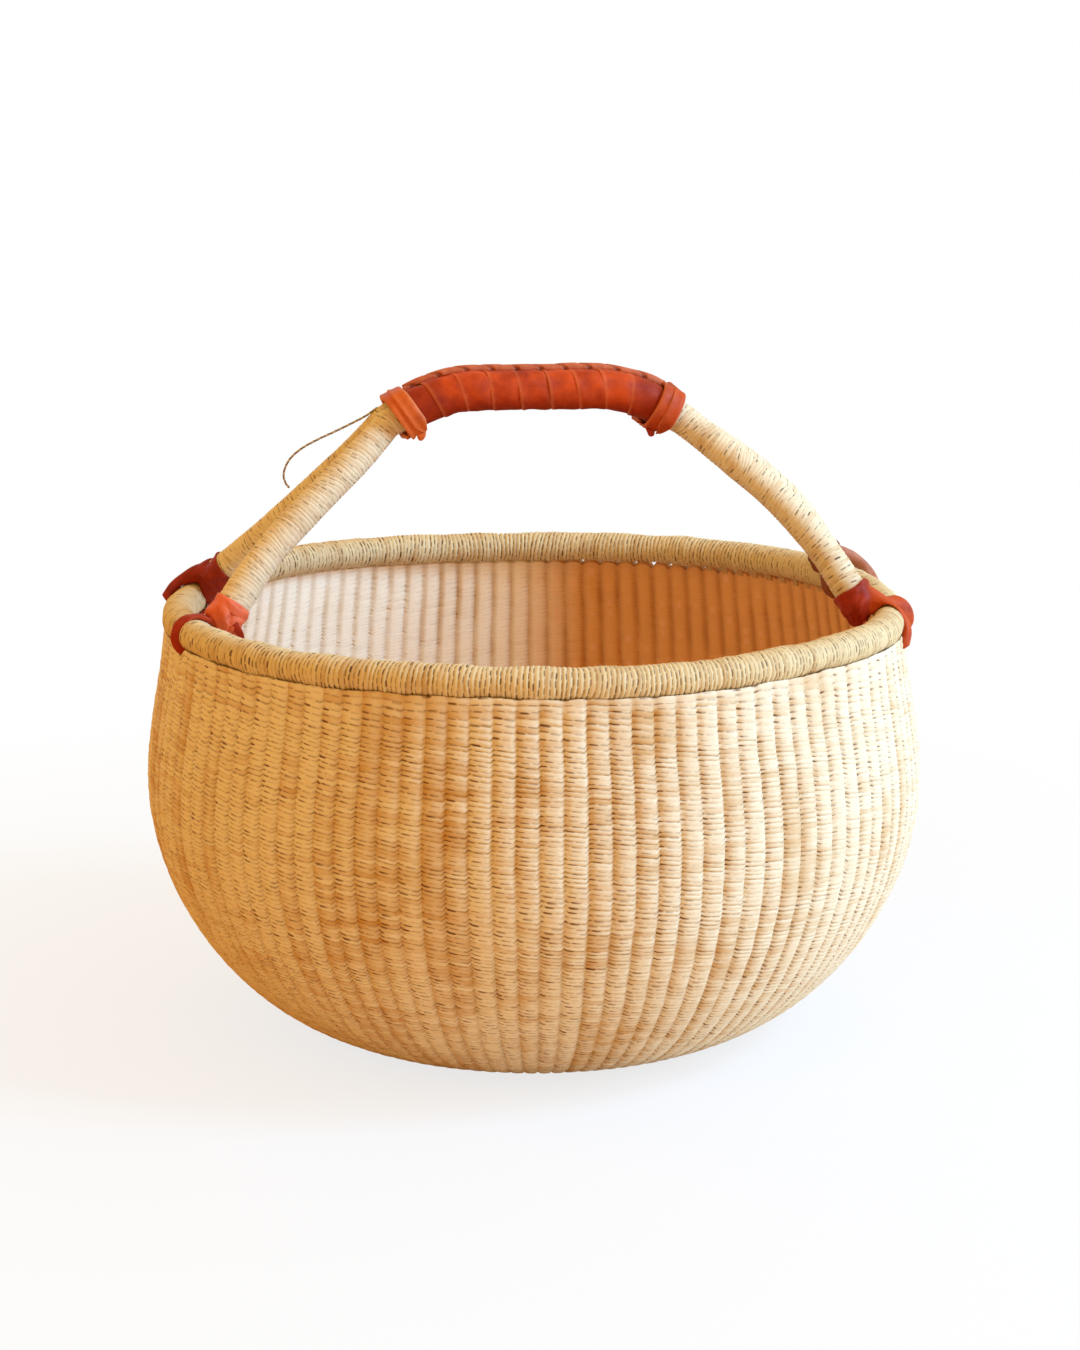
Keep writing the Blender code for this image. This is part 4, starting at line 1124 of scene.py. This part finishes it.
def cuff_skin(name, side_x, side_y, seed, pleats, gather, length, tip, lean):
    """A leather cuff round the foot of a leg, drawn together below the foot.

    Length is how far it reaches up the leg, tip how far it reaches below the foot, and lean
    how far its lower end goes outwards.
    """
    end, up, out, side = foot_frame(side_x, side_y)
    # Heights above the foot and radii, from inside the mouth over its lip to the tip
    heights = np.array((length - 0.0085, length - 0.0025, length, length + 0.0006, length - 0.0008,
                        0.88 * length, 0.68 * length, 0.48 * length, 0.26 * length, 0.10 * length,
                        0.0, -0.36 * tip, -0.72 * tip, -tip))
    radii = np.array((0, 0.0080, 0.0086, 0.0093, 0.0100, 0.0100, 0.0096, 0.0097, 0.0099, 0.0097,
                      0.0089, 0.0069, 0.0044, 0))
    marks = np.linspace(0, 1, len(heights))
    steps = 72
    around = 96

    def form(column, row):
        share = column / steps
        angle = 2 * pi * row / around
        height = np.interp(share, marks, heights)
        radius = np.interp(share, marks, radii)
        outer = smooth_step((share - 0.22) / 0.06)
        low = smooth_step((0.9 - height / length) / 0.7)
        bend = 1.6 * drift(seed, 6, 0.5, height * 90, np.cos(angle))
        crease = np.abs(np.sin(pleats * angle / 2 + height * 190 + bend)) - 0.6
        crease = crease + 0.5 * (np.abs(np.sin(pleats * angle - height * 260 + bend * 1.4)) - 0.6)
        fold = drift(seed + 1, 14, 0.55, np.cos(angle) * 1.5, np.sin(angle) * 1.5, height * 120)
        relief = outer * ((CUFF_CREASE + gather * low) * crease + CUFF_FOLD * fold)
        relief = relief * smooth_step(radius / 0.006)
        lip = outer * CUFF_LIP_SWAY * drift(seed + 2, 6, 0.5, np.cos(angle) * 1.2, np.sin(angle) * 1.2)
        moved = lean * smooth_step((0.3 * length - height) / (0.3 * length + tip))
        ring = np.cos(angle)[:, None] * out + np.sin(angle)[:, None] * side
        points = (end + up * (height + lip * (height > 0.6 * length))[:, None] + out * moved[:, None]
                  + ring * (radius + relief)[:, None])
        return points, stack(0.5, height * 55)

    return formed_grid(name, steps, around, form)


def strap_path(side_x, side_y, slack, lift, steps):
    """The loop of a thong round the rim and the nose at the cuff.

    It gives the points of its middle line, the ways its face looks, the middle of the nose and
    each point's share in the upper run, between the cuff and the top of the rim.
    """
    half = STRAP_THICKNESS / 2
    wide = RIM_TUBE_RADIUS + slack + half
    tall = RIM_TUBE_RADIUS + STRAP_CLEARANCE + lift + half
    skew_angle = LEG_FOOT_YAW - FOOT_ANGLE
    leg_slope = LEG_FOOT_SLOPES[side_x, side_y]
    slope = np.arctan2(sin(leg_slope), cos(leg_slope) * cos(skew_angle))
    reach = STRAP_NOSE_RADIUS + half + STRAP_CLEARANCE
    inset, height = FOOT_PLACES[side_x, side_y]
    nose = np.array((inset - reach * np.cos(slope), height - reach * np.sin(slope)))
    angle = np.linspace(0, 2 * pi, 720, endpoint=False)
    normal = np.stack([np.cos(angle), np.sin(angle)], axis=1)
    length = np.hypot(wide * normal[:, 0], tall * normal[:, 1])
    on_oval = np.stack([wide ** 2 * normal[:, 0] / length, tall ** 2 * normal[:, 1] / length], axis=1)
    on_nose = nose + STRAP_NOSE_RADIUS * normal
    further = (on_oval * normal).sum(axis=1) > (on_nose * normal).sum(axis=1)
    loop = np.where(further[:, None], on_oval, on_nose)
    # The loop and its normals again at even steps, the first of which follows the last
    ring = np.hstack([loop, normal])
    ring = np.vstack([ring, ring[:1]])
    runs = runs_along(ring[:, :2])
    even = np.arange(steps) / steps * runs[-1]
    evened = np.stack([np.interp(even, runs, values) for values in ring.T], axis=1)
    flat, turned = evened[:, :2], evened[:, 2:]
    centre, out, up = rim_frame(side_x, side_y)
    points = centre - flat[:, :1] * out + flat[:, 1:] * up
    normals = -turned[:, :1] * out + turned[:, 1:] * up
    nose_point = centre - nose[0] * out + nose[1] * up
    tangents = unit(np.roll(points, -1, axis=0) - np.roll(points, 1, axis=0))
    sideways = np.cross(tangents, normals)
    sideways *= np.sign(-sideways[:, 1:2])
    outside = smooth_step(-flat[:, 0] / wide + 0.1)
    twist = (STRAP_TWIST * outside)[:, None]
    upper = smooth_step((flat[:, 0] + 0.002) / 0.010) * smooth_step((flat[:, 1] + 0.001) / 0.006)
    return points, normals * np.cos(twist) + sideways * np.sin(twist), nose_point, upper


def rim_strap(name, side_x, side_y, seed, width, root_width, slack, lift):
    """The thong that holds a cuff to the rim, broad where it leaves the cuff, and its nose."""
    points, normals, nose, upper = strap_path(side_x, side_y, slack, lift, 140)
    near = np.maximum(upper, np.exp(-(np.linalg.norm(points - nose, axis=1) / NOSE_LENGTH) ** 2))
    widths = width + (root_width - width) * near
    thicknesses = STRAP_THICKNESS + NOSE_THICKENING * near
    return thong(name, points, normals, widths, thicknesses, seed, closed=True), nose


def gusset(name, side_x, side_y, seed, upper, lower, shifts, half_widths):
    """Leather drawn out from a cuff over the rim, as the table of drawn-out leather says."""
    centre, out, up = rim_frame(side_x, side_y)
    along = np.cross(up, out)
    marks = np.linspace(0, 1, len(upper))
    steps = 48
    around = 48

    def curve(values, share):
        """A smooth curve through evenly spaced values."""
        slopes = np.gradient(values, marks)
        i = np.clip(np.searchsorted(marks, share, side="right") - 1, 0, len(marks) - 2)
        wide = marks[1]
        t = (share - marks[i]) / wide
        return (values[i] * (1 + 2 * t) * (1 - t) ** 2 + slopes[i] * wide * t * (1 - t) ** 2
                + values[i + 1] * t * t * (3 - 2 * t) + slopes[i + 1] * wide * t * t * (t - 1))

    def edge(points, share):
        """Places on an edge, inwards and above, in metres."""
        points = np.array(points) * MM
        return stack(curve(points[:, 0], share), curve(points[:, 1], share))

    def form(column, row):
        share = column / steps
        angle = 2 * pi * row / around
        high, low = edge(upper, share), edge(lower, share)
        keep = np.where((column == 0) | (column == steps), 0, 1)
        half = (high - low) / 2 * keep[:, None]
        crease = drift(seed, 12, 0.6, share * 4, np.cos(angle) * 1.5, np.sin(angle) * 1.5)
        fold = np.abs(np.sin(9 * share + 2.2 * np.sin(angle) + drift(seed + 1, 5, 0.5, share * 3))) - 0.6
        relief = 1 + (0.05 * crease + 0.07 * fold) * keep
        flat = (high + low) / 2 + half * (np.sin(angle) * relief)[:, None]
        side = curve(np.array(half_widths) * MM, share) * np.cos(angle) * relief * keep
        side = side + curve(np.array(shifts) * MM, share)
        points = centre - flat[:, :1] * out + flat[:, 1:] * up + side[:, None] * along
        return points, stack(0.5, share * 2)

    return formed_grid(name, steps, around, form, flip=True)


# Twine

def hang_string(name):
    """A two-strand twine along the route, the points that it follows and its length."""
    route = np.array(STRING_ROUTE)
    padded = np.vstack([2 * route[0] - route[1], route, 2 * route[-1] - route[-2]])
    fine = []
    for i in range(1, len(padded) - 2):
        before, here, after, beyond = padded[i - 1:i + 3]
        for t in np.linspace(0, 1, 24, endpoint=False):
            fine.append(here + (after - before) * t / 2
                        + (2 * before - 5 * here + 4 * after - beyond) * t ** 2 / 2
                        + (3 * here - before - 3 * after + beyond) * t ** 3 / 2)
    fine.append(padded[-2])
    path = np.array(fine)
    steps = len(path) - 1
    tangent = unit(np.gradient(path, axis=0))
    across = unit(np.cross(tangent, (0, 1, 0.2)))
    up = np.cross(tangent, across)
    run = runs_along(path)
    around = 20

    def form(column, row):
        angle = 2 * pi * row / around
        twist = 2 * pi * run[column] / STRING_LAY
        radius = STRING_RADIUS * (0.72 + 0.30 * np.abs(np.cos(angle - twist)))
        radius = np.where((column == 0) | (column == steps), 0, radius)
        points = (path[column] + across[column] * (radius * np.cos(angle))[:, None]
                  + up[column] * (radius * np.sin(angle))[:, None])
        return points, stack((angle - twist) / pi, run[column] / STRING_LAY)

    return formed_grid(name, steps, around, form, flip=True), path, run[-1]


# Light, floor and camera

def build_stage():
    """A pale floor that keeps the shadow near the basket and fades into the white ground."""
    bm = bmesh.new()
    bmesh.ops.create_grid(bm, x_segments=1, y_segments=1, size=30)
    mesh = bpy.data.meshes.new("floor")
    bm.to_mesh(mesh)
    bm.free()
    floor = bpy.data.objects.new("floor", mesh)
    bpy.context.scene.collection.objects.link(floor)
    material, add = new_material("white_painted_board")
    place = add("TexCoord")["Object"]
    seen = add("LightPath")["Is Camera Ray"]
    x = add("SeparateXYZ", [place])[0]
    # Painted light: for the light it throws back the board is warm towards the left, a warm fill on the
    # basket's shaded side; as seen it is tinted blue, so that it shows near white under that light
    right = add("MapRange", [x, -0.35, 0.25], **SMOOTH)[0]
    bounce = add("Mix", {0: right, 6: linear("#E0AE6C"), 7: linear("#F3EEE6")}, data_type="RGBA")[2]
    colour = add("Mix", {0: seen, 6: bounce, 7: linear("#DCE6F4")}, data_type="RGBA")[2]
    set_shader(material, Base_Color=colour, Roughness=0.95, Specular_IOR_Level=0.05)
    # The camera sees the board fade into white away from the basket
    away = add("VectorMath", [place], operation="LENGTH")["Value"]
    far = add("MapRange", [away, 0.2, 0.8], **SMOOTH)[0]
    fade = add("Math", [far, 0.22, 0.78], operation="MULTIPLY_ADD")[0]
    white = add("Emission")[0]
    share = add("Math", [fade, seen], operation="MULTIPLY")[0]
    nodes = material.node_tree.nodes
    mixed = add("MixShader", [share, nodes["Principled BSDF"].outputs[0], white])[0]
    fill_inputs(material.node_tree, nodes["Material Output"], {"Surface": mixed})
    mesh.materials.append(material)


def build_world():
    """White where it is seen, and an even light on the object that is warmer from the left."""
    world = bpy.data.worlds.new("studio")
    bpy.context.scene.world = world
    world.use_nodes = True
    add = partial(add_node, world.node_tree)
    rays = add("LightPath")
    seen = rays["Is Camera Ray"]
    for ray in ("Is Glossy Ray", "Is Transmission Ray"):
        seen = add("Math", [seen, rays[ray]], operation="MAXIMUM")[0]
    way = add("TexCoord")["Generated"]
    x = add("SeparateXYZ", [way])[0]
    right = add("MapRange", [x, -0.4, 1.0], **SMOOTH)[0]
    soft = add("Mix", {0: right, 6: linear("#FFCA6B"), 7: linear("#F3BF89")}, data_type="RGBA")[2]
    colour = add("Mix", {0: seen, 6: soft, 7: linear("#FFFFFF")}, data_type="RGBA")[2]
    strength = add("Math", [seen, 1 - SOFT_STRENGTH, SOFT_STRENGTH], operation="MULTIPLY_ADD")[0]
    background = world.node_tree.nodes["Background"]
    fill_inputs(world.node_tree, background, {"Color": colour, "Strength": strength})


def add_lamp(name, place, aim, size, power, colour):
    """A square soft lamp, aimed at a point."""
    lamp = bpy.data.lights.new(name, "AREA")
    lamp.size = size
    lamp.energy = power
    lamp.color = linear(colour)[:3]
    piece = bpy.data.objects.new(name, lamp)
    piece.location = place
    piece.rotation_euler = (Vector(aim) - Vector(place)).to_track_quat("-Z", "Y").to_euler()
    bpy.context.scene.collection.objects.link(piece)


def build_camera():
    """The photograph's view: from the front, a little left of the middle and above the rim."""
    camera = bpy.data.cameras.new("camera")
    camera.lens = 76.6
    camera.sensor_width = 36
    camera.shift_x = 0.0044
    piece = bpy.data.objects.new("camera", camera)
    piece.location = (-0.1906, -1.4878, 0.5256)
    piece.rotation_euler = (radians(90 - 12.79), 0, radians(-7.3))
    bpy.context.scene.collection.objects.link(piece)
    bpy.context.scene.camera = piece


def dress(piece, body, material, slot, *nodes):
    """Give a piece its material and body, and hide the nodes it stands for. Slot is not used."""
    piece.data.materials.append(material)
    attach(piece, body)
    if nodes:
        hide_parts(*nodes)


def build_bowl():
    """The woven wall in closed bands, the base and the rim."""
    wall_grass = grass_material("woven_elephant_grass", "#E2D4B8", "#BE8C3E", "#6E4010",
                                rib_shading=0.2, gap_depth=1.0, side_gaps=0.5, sparse=0.1, steady=0.4)
    rim_grass = grass_material("wound_elephant_grass", "#D6C296", "#A8752E", "#573711",
                               rib_shading=0.0, gap_depth=0.95, side_gaps=0.0, sparse=0.2, steady=0.55)
    per_band = WEFT_COUNT // WALL_BANDS
    for i in range(WALL_BANDS):
        band = wall_band("wall_band_%d" % (i + 1), i * per_band, (i + 1) * per_band)
        dress(band, "basket", wall_grass, "woven_wall", "woven_wall")
    dress(base_disc("base_disc"), "basket", wall_grass, "woven_base", "woven_base")
    dress(rim_skin("rim_binding"), "basket", rim_grass, "rim_wrap", "rim_wrap")


def build_bundles():
    """The handle's two bound bundles, and the stems in them and in the rim."""
    leg_grass = grass_material("wound_pale_grass", "#DFCFAE", "#B5843C", "#4E3A1C",
                               rib_shading=0.0, gap_depth=0.95, side_gaps=0.0, sparse=0.55, steady=0.12)
    core = core_material("dry_grass_stems")
    for label, seed in (("front", 40), ("rear", 60)):
        skin = bundle_skin("leg_binding_" + label, BUNDLES[label], seed)
        dress(skin, "handle", leg_grass, "handle_wrap_" + label, "handle_wrap_" + label)
        stems = bundle_core("stem_bundle_" + label, BUNDLES[label])
        dress(stems, "handle", core, "handle_core_" + label, "handle_core_" + label)
    for slot in bpy.data.objects["rim_core"].material_slots:
        slot.material = core


def build_grip(hides):
    """The leather of the grip: its winding, its laced ridge and its two collars."""
    start = -WINDING_PITCH * WINDING_TURNS / 2
    winding = wound_strip("grip_strip", start, WINDING_PITCH, WINDING_TURNS,
                          width=WINDING_PITCH + WINDING_LAP * 0.8, thickness=WINDING_THICKNESS,
                          lap=WINDING_LAP, crown=0.0003, seed=80, seat=0.0002, rise=0.6)
    dress(winding, "handle", hides["red"], "grip_winding", "grip_winding")
    lace = lace_material("goatskin_lace", "#CE7A54", "#9C3A1C", "#4E1407")
    dress(grip_lace("grip_ridge"), "handle", lace, "grip_lace", "grip_lace")
    inner = WINDING_LENGTH / 2
    # Each collar's side, where its strip starts, its pitch, its seed and its two hides. The right
    # collar's hides are copies in painted shade
    collars = (("left", -1, -inner - 0.0114, 0.0050, 90, "orange", "orange"),
               ("right", 1, inner - 0.0012, 0.0056, 95, "rust", "dark"))
    for label, side_x, start, pitch, seed, skin, tail_skin in collars:
        node = "grip_collar_" + label
        band = wound_strip("collar_band_" + label, start, pitch, 2.0, width=0.0080, thickness=0.0016,
                           lap=0.0028, crown=0.0012, seed=seed, seat=0.0013, skew=side_x * 0.0010,
                           first=0.56)
        dress(band, "handle", hides[skin], node, node)
        tail_root = grip_surface(np.array([side_x * (inner + 0.003)]), np.array([0.60]), 0.0030)[0]
        tail_tip = tail_root + np.array((side_x * 0.0010, -0.0012, -0.0052))
        tail = tongue("collar_tail_" + label, tail_root, tail_tip, width=0.0046, seed=seed + 2)
        dress(tail, "handle", hides[tail_skin], node)


def build_foot(foot, number, hides):
    """One foot: its cuff, the thong that ties it to the rim and the leather drawn out over the rim."""
    label = foot["label"]
    side_x, side_y = foot["sides"]
    cuff = cuff_skin("cuff_" + label, side_x, side_y, 100 + 7 * number, **foot["cuff"])
    dress(cuff, "handle", hides[foot["hide"]], "leg_cuff_" + label, "leg_cuff_" + label)
    strap, nose = rim_strap("thong_" + label, side_x, side_y, 140 + 5 * number, **foot["thong"])
    strap.data.materials.append(hides[foot["thong_hide"]])
    pieces = [strap]
    if label in DRAWN_OUT:
        flap = gusset("cuff_drawn_out_" + label, side_x, side_y, 170 + number, **DRAWN_OUT[label])
        flap.data.materials.append(hides[foot["flap_hide"]])
        pieces.append(flap)
    for piece in pieces:
        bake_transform(piece)
        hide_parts("rim_strap_" + label)
    if "tail" in foot:
        tail = tongue("cuff_tail", *foot["tail"], width=0.0042, seed=180)
        dress(tail, "handle", hides["dark"], "leg_cuff_" + label, "leg_cuff_" + label)


def build_leather():
    """The leather of the grip and of the four feet."""
    hides = {key: leather_material(name, *colours, shaded_grip=key == "red")
             for key, (name, *colours) in HIDES.items()}
    build_grip(hides)
    for number, foot in enumerate(FEET):
        build_foot(foot, number, hides)


def build_string():
    """The twine loop."""
    twine, path, length = hang_string("twine_loop")
    dress(twine, "handle", twine_material("undyed_twine"), "hang_string", "hang_string")


def main():
    """Build the view and the cord, then every other piece, then the stage."""
    build_camera()
    build_string()
    build_bowl()
    build_bundles()
    build_leather()
    build_stage()
    build_world()
    add_lamp("key", place=(2.42, -0.88, 1.1), aim=(0, 0, 0.15), size=1.1, power=62, colour="#9AD3FF")
    add_lamp("window", place=(1.45, -0.72, 1.6), aim=(-0.08, 0.12, 0.14), size=0.5, power=33,
             colour="#9AD3FF")
    bpy.context.scene.view_settings.view_transform = "Standard"


main()
